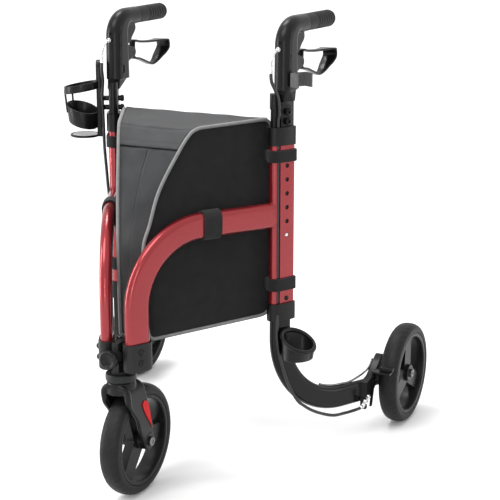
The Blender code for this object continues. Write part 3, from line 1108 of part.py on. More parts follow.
def bag_lid():
    """The bag's lid: a sheet over the top and down the front."""
    rings = []
    for (s, z), (inner_s, inner_z) in zip(lid_profile(0.0), lid_profile(LID_THICK)):
        half = side_point(1, s, BAG_N, z).x - LID_EDGE
        y, inner_y = side_point(1, s, BAG_N, z).y, side_point(1, inner_s, BAG_N, z).y
        rings.append([Vector((half, y, z)), Vector((half, inner_y, inner_z)), Vector((-half, inner_y, inner_z)),
                      Vector((-half, y, z))])
    return loft("bag_lid", rings)


def material(name, colour, roughness, metallic):
    made = bpy.data.materials.new(name)
    made.use_nodes = True
    shader = made.node_tree.nodes["Principled BSDF"]
    shader.inputs["Base Color"].default_value = (*colour, 1)
    shader.inputs["Roughness"].default_value = roughness
    shader.inputs["Metallic"].default_value = metallic
    return made


def body_empty(name, place, parent=None):
    """An empty on a joint's axis, which the moving pieces hang from."""
    empty = bpy.data.objects.new(name, None)
    empty.empty_display_size = 0.03
    bpy.context.scene.collection.objects.link(empty)
    empty.location = place
    if parent:
        empty.parent = parent
        empty.location = place - world_of(parent)
    return empty


def world_of(empty):
    place = Vector(empty.location)
    while empty.parent:
        empty = empty.parent
        place += empty.location
    return place


def place_piece(obj, name, body, colour, roughness, metallic):
    """Names the piece, paints it, shades it and hangs it from its body's empty."""
    obj.name = name
    obj.data.name = name
    origin = world_of(body)
    obj.data.transform(Matrix.Translation(-origin))
    obj.parent = body
    if obj.type == "MESH":
        obj.data.shade_smooth()
        obj.data.set_sharp_from_angle(angle=math.radians(32))
    obj.data.materials.clear()
    obj.data.materials.append(material(name, colour, roughness, metallic))


def build_head(root):
    place_piece(head_block(), "head_block", root, DARK_GREY, 0.5, 0.2)
    place_piece(steering_collar(), "steering_collar", root, DARK_GREY, 0.45, 0.1)
    for side, word in ((1, "left"), (-1, "right")):
        place_piece(hinge_pin(side), f"hinge_pin_{word}", root, STEEL, 0.3, 1.0)
    knob = body_empty("knob_body", Vector((0, BOSS_FRONT, KNOB_Z)), root)
    place_piece(lock_knob(), "lock_knob", knob, BLACK, 0.5, 0.0)


def build_caster(root):
    swivel = body_empty("caster_body", Vector((0, CASTER_Y, STEER_LOW)), root)
    place_piece(fork(), "fork", swivel, BLACK, 0.45, 0.0)
    for side, word in ((1, "left"), (-1, "right")):
        place_piece(fork_inlay(side), f"fork_inlay_{word}", swivel, (0.8, 0.02, 0.01), 0.35, 0.0)
    wheel_y = CASTER_Y + TRAIL
    reach = FORK_HALF + 0.001 + GAP + AXLE_HEAD
    bolt = axle(1, wheel_y, -reach, reach, AXLE_HEAD, AXLE_HEAD)
    place_piece(bolt, "front_axle", swivel, STEEL, 0.35, 1.0)
    wheel = body_empty("front_wheel_body", Vector((0, wheel_y, WHEEL_R)), swivel)
    place_piece(wheel_rim(0, wheel_y, FRONT_TURN), "front_rim", wheel, BLACK, 0.5, 0.0)
    place_piece(tyre(0, wheel_y), "front_tyre", wheel, BLACK, 0.7, 0.0)


def build_side(root, side, word):
    pin = Vector((side * PIN_X, PIN_Y, LUG_LOW))
    frame = body_empty(f"side_{word}_body", pin, root)
    pieces = (
        (tube_socket(side), "tube_socket", DARK_GREY, 0.5, 0.2),
        (frame_tube(side), "frame_tube", RED, 0.25, 0.8),
        (upright(side), "upright", RED, 0.25, 0.8),
        (top_cap(side), "top_cap", BLACK, 0.45, 0.0),
        (lower_sleeve(side), "lower_sleeve", BLACK, 0.45, 0.0),
        (bag_strap(side, UPPER_STRAP), "upper_strap", BLACK, 0.8, 0.0),
        (bag_strap(side, LOWER_STRAP), "lower_strap", BLACK, 0.8, 0.0),
        (tube_strap(side), "tube_strap", BLACK, 0.8, 0.0),
        (leg_tube(side), "leg_tube", BLACK, 0.35, 0.3),
        (rear_bracket(side), "rear_bracket", BLACK, 0.45, 0.2),
        (brake_cable(side), "brake_cable", BLACK, 0.5, 0.0),
        (axle(side, REAR_Y, BRACKET_IN - GAP - AXLE_HEAD, REAR_X + HUB_HALF + GAP + AXLE_HEAD, AXLE_HEAD,
              AXLE_HEAD), "rear_axle", STEEL, 0.35, 1.0),
    )
    for obj, name, colour, roughness, metallic in pieces:
        place_piece(obj, f"{name}_{word}", frame, colour, roughness, metallic)
    pivot = Vector((side * BRACKET_OUT, BRAKE_PIVOT_Y, BRAKE_PIVOT_Z))
    arm = body_empty(f"brake_{word}_body", pivot, frame)
    place_piece(brake_arm(side), f"brake_arm_{word}", arm, STEEL, 0.4, 1.0)
    place_piece(brake_pad(side), f"brake_pad_{word}", arm, BLACK, 0.8, 0.0)
    wheel = body_empty(f"rear_wheel_{word}_body", Vector((side * REAR_X, REAR_Y, WHEEL_R)), frame)
    place_piece(wheel_rim(side * REAR_X, REAR_Y, REAR_TURN), f"rear_rim_{word}", wheel, BLACK, 0.5, 0.0)
    place_piece(tyre(side * REAR_X, REAR_Y), f"rear_tyre_{word}", wheel, BLACK, 0.7, 0.0)
    return frame


def build_handle(frame, side, word):
    handle = body_empty(f"handle_{word}_body", side_point(side, RAIL_S, 0, POST_TOP), frame)
    place_piece(post(side), f"post_{word}", handle, BLACK, 0.35, 0.4)
    place_piece(handle_housing(side), f"handle_housing_{word}", handle, BLACK, 0.5, 0.0)
    place_piece(grip(side), f"grip_{word}", handle, BLACK, 0.7, 0.0)
    place_piece(cable_pipe(side), f"cable_pipe_{word}", handle, STEEL, 0.3, 1.0)
    button = body_empty(f"button_{word}_body", side_point(side, RAIL_S + HOLE_U, 0, HOLE_LOW), handle)
    place_piece(snap_button(side), f"snap_button_{word}", button, STEEL, 0.3, 1.0)
    lever = body_empty(f"lever_{word}_body", handle_point(side, LEVER_A, 0, LEVER_Z), handle)
    place_piece(brake_lever(side), f"brake_lever_{word}", lever, BLACK, 0.5, 0.0)
    return handle


def build_bag(root):
    place_piece(bag_body(), "bag_body", root, (0.03, 0.03, 0.032), 0.9, 0.0)
    hinge = side_point(1, BAG_BACK, BAG_N, BAG_TOP_BACK)
    lid = body_empty("lid_body", Vector((0, hinge.y, hinge.z)), root)
    place_piece(bag_lid(), "bag_lid", lid, (0.08, 0.08, 0.085), 0.9, 0.0)


def main():
    for obj in list(bpy.context.scene.objects):
        bpy.data.objects.remove(obj)
    root = body_empty("rollator", Vector((0, 0, 0)))
    build_head(root)
    build_caster(root)
    for side, word in ((1, "left"), (-1, "right")):
        frame = build_side(root, side, word)
        handle = build_handle(frame, side, word)
        if side > 0:
            place_piece(crutch_cup(side), "crutch_cup", frame, BLACK, 0.5, 0.0)
            place_piece(crutch_clip(side), "crutch_clip", handle, BLACK, 0.5, 0.0)
        else:
            place_piece(cup_holder(side), "cup_holder", handle, BLACK, 0.45, 0.0)
    build_bag(root)


main()
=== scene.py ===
"""A folding rollator with three wheels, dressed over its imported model: finishes, fine shapes, bag and stage.

Places on a side frame are (s, n, z): s runs back along the frame from its foot, n points outward.
Places on a handle are (a, b, z): a runs back from the upright's axis, b points outward.
"""
import math

import bmesh
import bpy
from bpy.props import FloatProperty, FloatVectorProperty, IntProperty, PointerProperty
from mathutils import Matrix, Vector, noise


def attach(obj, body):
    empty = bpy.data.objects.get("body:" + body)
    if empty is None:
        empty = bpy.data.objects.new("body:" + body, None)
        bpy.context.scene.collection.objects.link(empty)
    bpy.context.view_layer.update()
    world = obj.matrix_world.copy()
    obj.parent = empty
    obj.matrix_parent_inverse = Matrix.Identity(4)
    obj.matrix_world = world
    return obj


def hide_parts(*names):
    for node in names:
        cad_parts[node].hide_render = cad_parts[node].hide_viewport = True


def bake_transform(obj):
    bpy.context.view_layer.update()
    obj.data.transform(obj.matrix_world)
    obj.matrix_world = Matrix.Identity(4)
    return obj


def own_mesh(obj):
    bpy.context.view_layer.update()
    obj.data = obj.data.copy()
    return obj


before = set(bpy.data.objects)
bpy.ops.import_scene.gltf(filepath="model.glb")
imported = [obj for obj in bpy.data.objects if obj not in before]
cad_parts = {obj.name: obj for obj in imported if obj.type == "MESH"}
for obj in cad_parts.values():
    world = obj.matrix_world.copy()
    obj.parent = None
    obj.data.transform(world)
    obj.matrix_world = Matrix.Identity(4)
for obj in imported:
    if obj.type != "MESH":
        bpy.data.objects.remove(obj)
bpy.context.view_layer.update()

bl_info = {
    "name": "Folding Rollator",
    "version": (1, 0, 0),
    "blender": (4, 5, 0),
    "location": "View3D > Sidebar > Rollator",
    "description": "Builds the visible pieces of a folding three-wheeled rollator over its packed model",
    "category": "Object",
}

SIDES = ((1, "left"), (-1, "right"))
GAP = 0.0003
BEND_STEPS = 56

# Side frame
SIDE_ANGLE, FOOT_X, FOOT_Y = math.radians(27.9), 0.0301, -0.3043
TUBE_LOW, BEND_R, BEND_LOW, TOP_SLOPE = 0.2623, 0.130, 0.3516, math.radians(1.2)
TUBE_DEPTH, TUBE_WIDTH = 0.046, 0.021
RAIL_S, RAIL_DEPTH, RAIL_WIDTH, RAIL_WALL = 0.305, 0.047, 0.022, 0.0016
RAIL_LOW, RAIL_TOP = 0.300, 0.634
RAIL_CORNER, GROOVE_HALF, GROOVE_DEPTH = 0.003, 0.0035, 0.007
LOBE_S = RAIL_S - RAIL_DEPTH / 2 + RAIL_WIDTH / 2
HOLE_U, HOLE_R, HOLE_LOW, HOLE_PITCH, HOLE_COUNT, RIVET_Z = 0.006, 0.004, 0.441, 0.0254, 6, 0.322
# The rivet's dished head: (radius, height over the upright's face)
RIVET = ((0.0046, -0.001), (0.0046, 0.0006), (0.0040, 0.0012), (0.0024, 0.0016), (0.0018, 0.0009),
         (0.0005, 0.0009))
SOCKET_SCREW_ZS, SOCKET_SCREW_OUT = (0.2811, 0.2616), 0.0151
LEG_DEPTH, LEG_WIDTH, LEG_TOP, LEG_R, LEG_AXIS_Z, LEG_END = 0.043, 0.020, 0.290, 0.150, 0.096, 0.493
END_X = FOOT_X + LEG_END * math.sin(SIDE_ANGLE)
END_Y = FOOT_Y + LEG_END * math.cos(SIDE_ANGLE)

# Wheels, fork and brakes
WHEEL_R, TYRE_HALF, TYRE_BEAD = 0.100, 0.0186, 0.0177
TREAD_SLITS, TREAD_TEETH, TREAD_ZONE = 40, 20, 0.011
RIM_OUTER, RIM_INNER, RIM_HALF, RIM_LIP, RIM_WAIST = 0.082, 0.074, 0.0178, 0.0012, 0.004
HUB_R, HUB_HALF, HUB_EDGE, AXLE_R = 0.017, 0.015, 0.001, 0.005
SPOKE_COUNT, SPOKE_START, SPOKE_HALF, SPOKE_TAPER, SPOKE_DEPTH = 3, 0.010, 0.0165, 0.001, 0.0085
FRONT_TURN, REAR_TURN = -8, -32
FRONT_Y, REAR_X, REAR_Y = -0.266, END_X + 0.0482, END_Y + 0.1345
CASTER_Y, STEER_LOW, TRAIL = -0.3108, 0.226, 0.0448
FORK_HALF, FORK_THICK, FORK_HUB_R, FORK_CORNER = 0.028, 0.0075, 0.016, 0.014
FORK_LIP_LOW, FORK_LIP_RISE, FORK_LIP_GROW, FORK_LIP_OUT = 0.158, 0.045, 0.0022, 0.0008
# The fork's arm from the axle up: (share of the rise to the steerer, share of the trail, depth)
FORK_ARM = ((0.0, 0.0, 0.032), (0.222, 0.181, 0.0435), (0.397, 0.346, 0.043), (0.556, 0.589, 0.0524),
            (0.683, 0.781, 0.060), (0.889, 0.9375, 0.056), (0.972, 1.0, 0.050), (1.0, 1.0, 0.050))
# The bell under the steering collar: (height, radius)
FORK_BELL = ((0.2045, 0.0272), (0.213, 0.0265), (0.2205, 0.0255), (0.2257, 0.0245))
BRACKET_IN, STOP_Y, STOP_Z = END_X + 0.0092, REAR_Y - 0.1399, 0.071

# Handles
FLARE, POST_TOP = math.radians(2.0), 0.6817
HOUSING_A, HOUSING_LOW, HOUSING_BEND, HOUSING_R = 0.018, 0.700, 0.778, 0.034
HOUSING_DEPTH, HOUSING_WIDTH, HOUSING_TAPER = 0.052, 0.033, 0.004
# Openings of the housing: (place, height) of the two in its front, the pin hole and the inner oval
RECESS_Z, MOUTH_Z, TINY_HOLE, OVAL_HOLE = 0.7845, 0.7735, (0.0055, 0.7618), (0.0100, 0.7189)
THROAT_LOW, THROAT_HIGH = (0.0275, 0.023, 0.004), (0.037, 0.027, 0.005)
MELT_VOXEL = 0.0009
# The finger rest under the grip, from the housing's bend: (back, height)
FINGER_REST = ((0.010, -0.018), (0.034, -0.015), (0.047, -0.003), (0.0580, 0.0080), (0.0578, 0.0165),
               (0.053, 0.0245), (0.034, 0.033))
GRIP_R, GRIP_START, GRIP_LENGTH, GRIP_DOME = 0.0155, 0.087, 0.1115, 0.010
GRIP_Z = HOUSING_BEND + HOUSING_R
LEVER_A, LEVER_Z, LEVER_HUB_R, LEVER_HALF, LEVER_TIP_HALF = 0.063, 0.745, 0.009, 0.006, 0.0148
LEVER_LENGTH, LEVER_DEPTH, LEVER_THICK, LEVER_PIN_R = 0.1365, 0.0315, 0.0045, 0.0025
CHEEK, LEVER_WIDENS, LEVER_CUP = 0.0035, 0.6, 0.0022
# The lever's loop as shares of its length and depth, over the grip's side, round the end and back below
LEVER_LOOP = ((0.088, 0.556), (0.271, 0.492), (0.469, 0.413), (0.711, 0.365), (0.956, 0.333), (0.993, 0.238),
              (1.0, -0.095), (0.930, -0.365), (0.839, -0.597), (0.751, -0.841), (0.652, -1.0), (0.564, -0.968),
              (0.403, -0.746), (0.256, -0.540), (0.081, -0.317))
RIB_START, RIB_FADE_IN, RIB_FADE_OUT, GRIP_EDGE = 0.026, 0.012, 0.006, 0.0012
POST_SCREW_ZS, POST_SCREW_R, POST_SCREW_OUT = (0.664, 0.647), 0.0048, 0.0130
CABLE_R, PIPE_R, LOBE_R = 0.0030, 0.003, 0.0085
# The metal pipe over the housing's front, from its upper front corner: (back, height)
PIPE_BEND = ((0.004, -0.0055), (-0.004, -0.0055), (-0.013, -0.008), (-0.0235, -0.0145), (-0.0300, -0.026),
             (-0.0325, -0.036), (-0.0325, -0.044))
# The right cable hangs slack beside its upright: (back from the groove, outward, height over the rail's top)
SLACK_CABLE = ((-0.006, 0.0187, 0.058), (-0.003, 0.0203, 0.038), (0.0, 0.0199, 0.008), (0.0, 0.0194, -0.034),
               (0.0, 0.0189, -0.062), (0.0, 0.0165, -0.100), (0.0, 0.0136, -0.144), (0.0, 0.0092, -0.186))
# Both cables under the curved leg: (turn round the bend in degrees, distance out from its axis)
LEG_CABLE = ((0, 0.016), (12, 0.0136), (25.9, 0.0146), (37.6, 0.019), (48, 0.0249), (55, 0.0259),
             (61.7, 0.0272), (70.4, 0.0289), (80.5, 0.032), (89, 0.0315))
# The adjuster in front of each cable stop, in lengths along its screw: (start, end, radius, sides)
ADJUSTER = ((-0.003, 0.005, 0.0042, 6), (0.0, 0.028, 0.0022, 16), (0.009, 0.014, 0.0050, 6),
            (0.020, 0.027, 0.0044, 6))
STAY_R, STAY_N = 0.0021, -0.004

# Lock knob
KNOB_FRONT, KNOB_BACK, KNOB_Z, KNOB_R, KNOB_DISH_R = -0.354, -0.3413, 0.2736, 0.0165, 0.0117
KNOB_STUD, KNOB_STUD_R, KNOB_FLUTES, KNOB_FLUTE_DEPTH = 0.0099, 0.004, 8, 0.0009

# Cup holder and crutch cup
LINK_ANGLES, LINK_SECTION = (math.radians(102), math.radians(42)), (0.0036, 0.0036, 0.0008, 2)
HOLDER_S, HOLDER_N, PLATE_N, PLATE_THICK, PLATE_HALF = RAIL_S + HOLE_U, 0.059, 0.0205, 0.0115, 0.013
HOLDER_LOW, HOLDER_TOP = 0.593, 0.736
RING_R, RING_WALL, RING_HEIGHT, RING_Z = 0.034, 0.0025, 0.014, 0.685
BUCKET_R, BUCKET_LOW_R, BUCKET_HEIGHT, BUCKET_Z = 0.030, 0.027, 0.031, 0.6320
# The holder's bands: (radius, height, tilt outward, lean back)
HOLDER_RING = (RING_R, RING_Z, math.radians(-10), math.radians(-2))
HOLDER_BUCKET = (BUCKET_R, BUCKET_Z, math.radians(14), math.radians(12))
TRAY_R, TRAY_N, TRAY_LOW, TRAY_TOP = 0.028, 0.056, 0.592, 0.597
CUP_S, CUP_N, CUP_A, CUP_B, CUP_WALL, CUP_LIP = 0.316, 0.041, 0.033, 0.028, 0.0022, 0.0026
CUP_LOW, CUP_RIM, CUP_SLOPE, CUP_LEAN = 0.213, 0.248, 0.55, 0.12

# Bag
BAG_N, BAG_BACK, BAG_LOW, BAG_TOP_BACK = -0.020, 0.298, 0.287, 0.6495
BAG_FRONT = ((0.037, 0.287), (0.030, 0.345), (0.028, 0.447), (0.042, 0.492), (0.063, 0.550), (0.105, 0.614),
             (0.124, 0.637), (0.134, 0.644), (0.147, 0.6475))
BAG_MIDDLE, LID_END, LID_SAG, LID_HINGE_GAP = (0.165, 0.450), 0.6135, 0.0040, 0.004
SEAM_ABOVE_END, SEAM_HALF, SEAM_DEPTH = (0.0025, 0.0085), 0.0012, 0.0011
BAG_CORNER_TOP, BAG_CORNER_LOW, BAG_CORNER_FRONT = 0.020, 0.024, 0.013

# Stage
CAMERA_PLACE, CAMERA_LENS, CAMERA_SENSOR = (1.1544, -2.1515, 1.0352), 95.98, 36.0
CAMERA_AZIMUTH, CAMERA_ELEVATION = math.radians(26.23), math.radians(14.98)
SUN_PLACE, SUN_STRENGTH, SUN_ANGLE = (-0.7, -1.9, 3.6), 1.45, math.radians(34)
# Lamps: (name, place, width, height, power)
LAMPS = (("left", (-2.2, -1.15, 0.8), 0.30, 1.8, 30.0), ("front", (1.0, -2.9, 0.9), 0.12, 1.5, 14.0),
         ("right", (2.3, 0.9, 0.9), 0.14, 1.4, 7.0), ("top", (-0.7, 0.5, 2.6), 0.7, 0.7, 18.0))
LAMP_AIM = Vector((0, 0, 0.4))
FLOOR_REACH, FLOOR_STEPS, FLOOR_GREY = 12.0, 24, (0.22, 0.22, 0.22)
SKY_LOW, SKY_HIGH = (0.30, 0.30, 0.31), (1.15, 1.15, 1.15)


class RollatorSizes(bpy.types.PropertyGroup):
    """Sizes of the fine shapes that a user may change."""
    edge: FloatProperty(name="Edge rounding", description="Radius on the edges of moulded and cast pieces",
                        default=0.0007, min=0.0, max=0.002, unit="LENGTH")
    weld: FloatProperty(name="Weld bead", description="Radius of the bead between tube and upright",
                        default=0.0012, min=0.0005, max=0.003, unit="LENGTH")
    tread_depth: FloatProperty(name="Tread depth", description="Depth of the slits in the tyres",
                               default=0.0009, min=0.0, max=0.002, unit="LENGTH")
    tyre_steps: IntProperty(name="Tyre steps", description="Faces round each tyre",
                            default=540, min=120, max=900)
    rib_height: FloatProperty(name="Grip rib height", description="How far the grip's ribs stand out",
                              default=0.0011, min=0.0, max=0.002, unit="LENGTH")
    rib_pitch: FloatProperty(name="Grip rib pitch", description="Distance from rib to rib",
                             default=0.0098, min=0.005, max=0.02, unit="LENGTH")
    panel_crown: FloatProperty(name="Side panel crown", description="How far the bag's side panels swell",
                               default=0.0035, min=0.0, max=0.006, unit="LENGTH")
    front_sag: FloatProperty(name="Front sag", description="How far the bag's front swells and sags",
                             default=0.006, min=0.0, max=0.012, unit="LENGTH")
    cloth: FloatProperty(name="Cloth thickness", description="Thickness of the bag's cloth",
                         default=0.0012, min=0.0005, max=0.003, unit="LENGTH")
    piping: FloatProperty(name="Piping", description="Radius of the cord sewn round the side panels",
                          default=0.0031, min=0.001, max=0.004, unit="LENGTH")


def colour_property(name, description, value):
    return FloatVectorProperty(name=name, description=description, subtype="COLOR", size=3, min=0.0, max=1.0,
                               default=value)


class RollatorColours(bpy.types.PropertyGroup):
    """Colours of the finishes that a user may change."""
    frame_red: colour_property("Frame", "Anodised tubes and uprights", (0.30, 0.019, 0.025))
    black_metal: colour_property("Black metal", "Legs, posts and castings", (0.007, 0.007, 0.0075))
    plastic: colour_property("Plastic", "Handle housings, fork and collars", (0.008, 0.008, 0.0083))
    head_grey: colour_property("Head", "Head casting and tube sockets", (0.016, 0.0162, 0.017))
    rim_grey: colour_property("Rims", "Wheel rims", (0.010, 0.010, 0.0105))
    rubber: colour_property("Tyres", "Tyre rubber", (0.011, 0.011, 0.011))
    grip: colour_property("Grips", "Grip rubber", (0.012, 0.012, 0.0122))
    side_cloth: colour_property("Bag sides", "Cloth of the bag's side panels", (0.019, 0.019, 0.020))
    # Painted light: the bag's front and back strip is the same black cloth as the sides, coloured lighter as if
    # lit from the front.
    front_cloth_painted_lit: colour_property("Bag front painted lit", "Cloth of the bag's front and back", (0.062, 0.063, 0.065))
    # Painted light: the lid is the same black cloth as the sides, coloured lighter still as if lit from above.
    lid_cloth_painted_lit: colour_property("Bag lid painted lit", "Cloth of the lid", (0.085, 0.086, 0.088))
    piping: colour_property("Piping", "Cord round the side panels", (0.24, 0.24, 0.24))
    inlay: colour_property("Inlay", "Drops on the fork", (0.88, 0.004, 0.006))
    dark_steel: colour_property("Dark steel", "Axle bolts and stays", (0.16, 0.16, 0.165))
    steel: colour_property("Steel", "Cable ends, pins and bolts", (0.62, 0.62, 0.63))


def sizes():
    return bpy.context.scene.rollator_sizes


# Places and sections

def side_point(side, s, n, z):
    x = FOOT_X + s * math.sin(SIDE_ANGLE) + n * math.cos(SIDE_ANGLE)
    y = FOOT_Y + s * math.cos(SIDE_ANGLE) - n * math.sin(SIDE_ANGLE)
    return Vector((side * x, y, z))


def handle_point(side, a, b, z):
    axis = side_point(1, RAIL_S, 0, 0)
    x = axis.x + a * math.sin(FLARE) + b * math.cos(FLARE)
    y = axis.y + a * math.cos(FLARE) - b * math.sin(FLARE)
    return Vector((side * x, y, z))


def on_side(side):
    return lambda s, n, z: side_point(side, s, n, z)


def on_rail(side):
    return lambda u, n, z: side_point(side, RAIL_S + u, n, z)


def on_handle(side):
    return lambda a, b, z: handle_point(side, a, b, z)


def along_x(side, y, z):
    """Round pieces whose axis runs along X, through (y, z)."""
    return lambda u, v, h: Vector((side * h, y + u, z + v))


def arc(cx, cy, radius, start, end, steps):
    angles = [math.radians(start + (end - start) * i / steps) for i in range(steps + 1)]
    return [(cx + radius * math.cos(t), cy + radius * math.sin(t)) for t in angles]


def circle(radius, steps, cx=0.0, cy=0.0):
    return arc(cx, cy, radius, 0, 360, steps)[:-1]


def oval(depth, width, steps):
    reach, half = (depth - width) / 2, steps // 2 - 1
    return arc(reach, 0, width / 2, -90, 90, half) + arc(-reach, 0, width / 2, 90, 270, half)


def rounded_box(depth, width, radius, steps=4):
    x, y = depth / 2 - radius, width / 2 - radius
    points = []
    for cx, cy, start in ((x, -y, -90), (x, y, 0), (-x, y, 90), (-x, -y, 180)):
        points += arc(cx, cy, radius, start, start + 90, steps)
    return points


def rail_outline(inset, steps=24):
    """The upright's section: round lobe, cable groove and box."""
    half = RAIL_WIDTH / 2 - inset
    lobe = -RAIL_DEPTH / 2 + RAIL_WIDTH / 2
    back = RAIL_DEPTH / 2 - inset
    corner = RAIL_CORNER - min(inset, RAIL_CORNER * 0.7)
    groove = GROOVE_HALF + inset
    floor = RAIL_WIDTH / 2 - GROOVE_DEPTH - inset
    start = math.degrees(math.acos(-groove / half))
    points = arc(back - corner, -half + corner, corner, -90, 0, 6)
    points += arc(back - corner, half - corner, corner, 0, 90, 6)
    points += [(lobe + groove, half), (lobe + groove, floor), (lobe - groove, floor)]
    return points + arc(lobe, 0, half, start, 270, steps)


def smooth_route(points, count):
    """Evenly counted places on a smooth curve through the points."""
    places = []
    for i in range(count + 1):
        t = i / count * (len(points) - 1)
        k = min(int(t), len(points) - 2)
        f = t - k
        p0, p1 = points[max(k - 1, 0)], points[k]
        p2, p3 = points[k + 1], points[min(k + 2, len(points) - 1)]
        bend = (2 * p0 - 5 * p1 + 4 * p2 - p3) * f * f + (3 * p1 - p0 - 3 * p2 + p3) * f ** 3
        places.append(0.5 * (2 * p1 + (p2 - p0) * f + bend))
    return places


def smoothstep(t):
    t = min(max(t, 0.0), 1.0)
    return t * t * (3 - 2 * t)


# Meshes

def mesh_object(name, points, faces, sharp=35):
    """An object with its faces turned outward, smooth except at edges sharper than the angle."""
    mesh = bpy.data.meshes.new(name)
    mesh.from_pydata([tuple(p) for p in points], [], faces)
    obj = bpy.data.objects.new(name, mesh)
    bpy.context.scene.collection.objects.link(obj)
    data = bmesh.new()
    data.from_mesh(mesh)
    bmesh.ops.recalc_face_normals(data, faces=data.faces)
    data.to_mesh(mesh)
    data.free()
    shade(obj, sharp)
    return obj


def shade(obj, sharp=35):
    mesh = obj.data
    mesh.shade_smooth()
    mesh.set_sharp_from_angle(angle=math.radians(sharp))


def loft(name, rings, loop=False, sharp=35):
    """A skin over rings of equal count, closed at its ends or in a loop."""
    count = len(rings[0])
    points = [point for ring in rings for point in ring]
    faces = []
    for i in range(len(rings) - (0 if loop else 1)):
        low, high = i * count, (i + 1) % len(rings) * count
        for j in range(count):
            k = (j + 1) % count
            faces.append((low + j, low + k, high + k, high + j))
    if not loop:
        faces.append(tuple(range(count))[::-1])
        faces.append(tuple(range(len(points) - count, len(points))))
    return mesh_object(name, points, faces, sharp)


def sheet_faces(rows, across):
    """Faces of a sheet whose points lie row by row."""
    wide = across + 1
    return [(i * wide + j, i * wide + j + 1, (i + 1) * wide + j + 1, (i + 1) * wide + j)
            for i in range(rows - 1) for j in range(across)]


def prism(name, outline, low, high, place):
    return loft(name, [[place(u, v, h) for u, v in outline] for h in (low, high)])


def turned(name, profile, steps, place, loop=False, sharp=35):
    """A round shape: its profile is (radius, height along the axis)."""
    return loft(name, [[place(u, v, h) for u, v in circle(r, steps)] for r, h in profile], loop, sharp)


def swept_ring(path_point, outline, place):
    u, z, angle = path_point
    return [place(u - p * math.sin(angle), q, z + p * math.cos(angle)) for p, q in outline]


def cord_mesh(name, points, radius, sides=14, radius_at=None):
    """A round cord along the points, with slightly domed ends."""
    rings, normal = [], None
    for i, point in enumerate(points):
        ahead = points[min(i + 1, len(points) - 1)] - points[max(i - 1, 0)]
        along = ahead.normalized()
        if normal is None:
            normal = along.orthogonal().normalized()
        normal = (normal - along * normal.dot(along)).normalized()
        across = along.cross(normal)
        r = radius_at(i / (len(points) - 1)) * radius if radius_at else radius
        ring = [point + (normal * math.cos(t) + across * math.sin(t)) * r
                for t in (2 * math.pi * j / sides for j in range(sides))]
        if i == 0:
            rings.append([point - along * r * 0.3 + (p - point) * 0.6 for p in ring])
        rings.append(ring)
    rings.append([points[-1] + along * radius * 0.3 + (p - points[-1]) * 0.6 for p in rings[-1]])
    return loft(name, rings)


def closed_cord(name, points, radius, sides=12, ripple=0.0, waves=0):
    """A round cord in a closed loop, with an even ripple for a weld or a stitched piping."""
    count = len(points)
    rings, normal = [], None
    for i in range(count):
        along = (points[(i + 1) % count] - points[i - 1]).normalized()
        if normal is None:
            normal = along.orthogonal().normalized()
        normal = (normal - along * normal.dot(along)).normalized()
        across = along.cross(normal)
        r = radius * (1 + ripple * math.sin(2 * math.pi * waves * i / count))
        rings.append([points[i] + (normal * math.cos(t) + across * math.sin(t)) * r
                      for t in (2 * math.pi * j / sides for j in range(sides))])
    first, last = rings[0], rings[-1]

    def twist(k):
        return sum((first[(j + k) % sides] - last[j]).length for j in range(sides))

    shift = min(range(sides), key=twist)
    if shift:
        turned_rings = []
        for i, ring in enumerate(rings):
            turn = 2 * math.pi * shift / sides * i / count
            middle, along = points[i], (points[(i + 1) % count] - points[i - 1]).normalized()
            first_arm = ring[0] - middle
            side_arm = along.cross(first_arm)
            turned_rings.append([middle + first_arm * math.cos(t + turn) + side_arm * math.sin(t + turn)
                                 for t in (2 * math.pi * j / sides for j in range(sides))])
        rings = turned_rings
    return loft(name, rings, loop=True, sharp=60)


def apply_all(obj):
    """Replaces the object's mesh by the result of its modifiers."""
    bpy.context.view_layer.update()
    result = bpy.data.meshes.new_from_object(obj.evaluated_get(bpy.context.evaluated_depsgraph_get()))
    obj.modifiers.clear()
    obj.data = result
    return obj


def combine(target, tool, operation):
    step = target.modifiers.new("Combine", "BOOLEAN")
    step.operation, step.object, step.solver = operation, tool, "EXACT"
    apply_all(target)
    bpy.data.objects.remove(tool)
    return target


def fuse(target, *tools):
    for tool in tools:
        combine(target, tool, "UNION")
    return target


def cut(target, *tools):
    for tool in tools:
        combine(target, tool, "DIFFERENCE")
    return target


def joined(name, parts, sharp=35):
    """One object from several closed shells."""
    data = bmesh.new()
    for part in parts:
        data.from_mesh(part.data)
        bpy.data.objects.remove(part)
    mesh = bpy.data.meshes.new(name)
    data.to_mesh(mesh)
    data.free()
    obj = bpy.data.objects.new(name, mesh)
    bpy.context.scene.collection.objects.link(obj)
    shade(obj, sharp)
    return obj


def melted(obj, voxel, smoothing):
    """Blends overlapping shells into one moulded skin with soft joins."""
    remesh = obj.modifiers.new("Skin", "REMESH")
    remesh.mode, remesh.voxel_size, remesh.use_smooth_shade = "VOXEL", voxel, True
    relax = obj.modifiers.new("Relax", "SMOOTH")
    relax.factor, relax.iterations = 0.5, smoothing
    apply_all(obj)
    obj.data.shade_smooth()
    return obj


def soften(obj, width=None, segments=2, angle=32):
    """A narrow rounding on the edges."""
    bevel = obj.modifiers.new("Edge", "BEVEL")
    bevel.width = sizes().edge if width is None else width
    bevel.segments, bevel.limit_method, bevel.angle_limit = segments, "ANGLE", math.radians(angle)
    bevel.harden_normals = True
    return obj


def dress(obj, body, slot, material, *nodes):
    """Gives a piece its finish, the body that it rides on and the CAD nodes that it stands for."""
    obj.data.materials.clear()
    obj.data.materials.append(material)
    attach(obj, body)
    if nodes:
        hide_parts(*nodes)
    return obj


# Finishes

FINISHES = {}


def node_mix(tree, factor, first, second):
    mix = tree.nodes.new("ShaderNodeMix")
    mix.data_type = "RGBA"
    tree.links.new(factor, mix.inputs[0])
    for socket, value in ((mix.inputs[6], first), (mix.inputs[7], second)):
        if isinstance(value, bpy.types.NodeSocket):
            tree.links.new(value, socket)
        else:
            socket.default_value = (*value, 1.0)
    return mix.outputs[2]


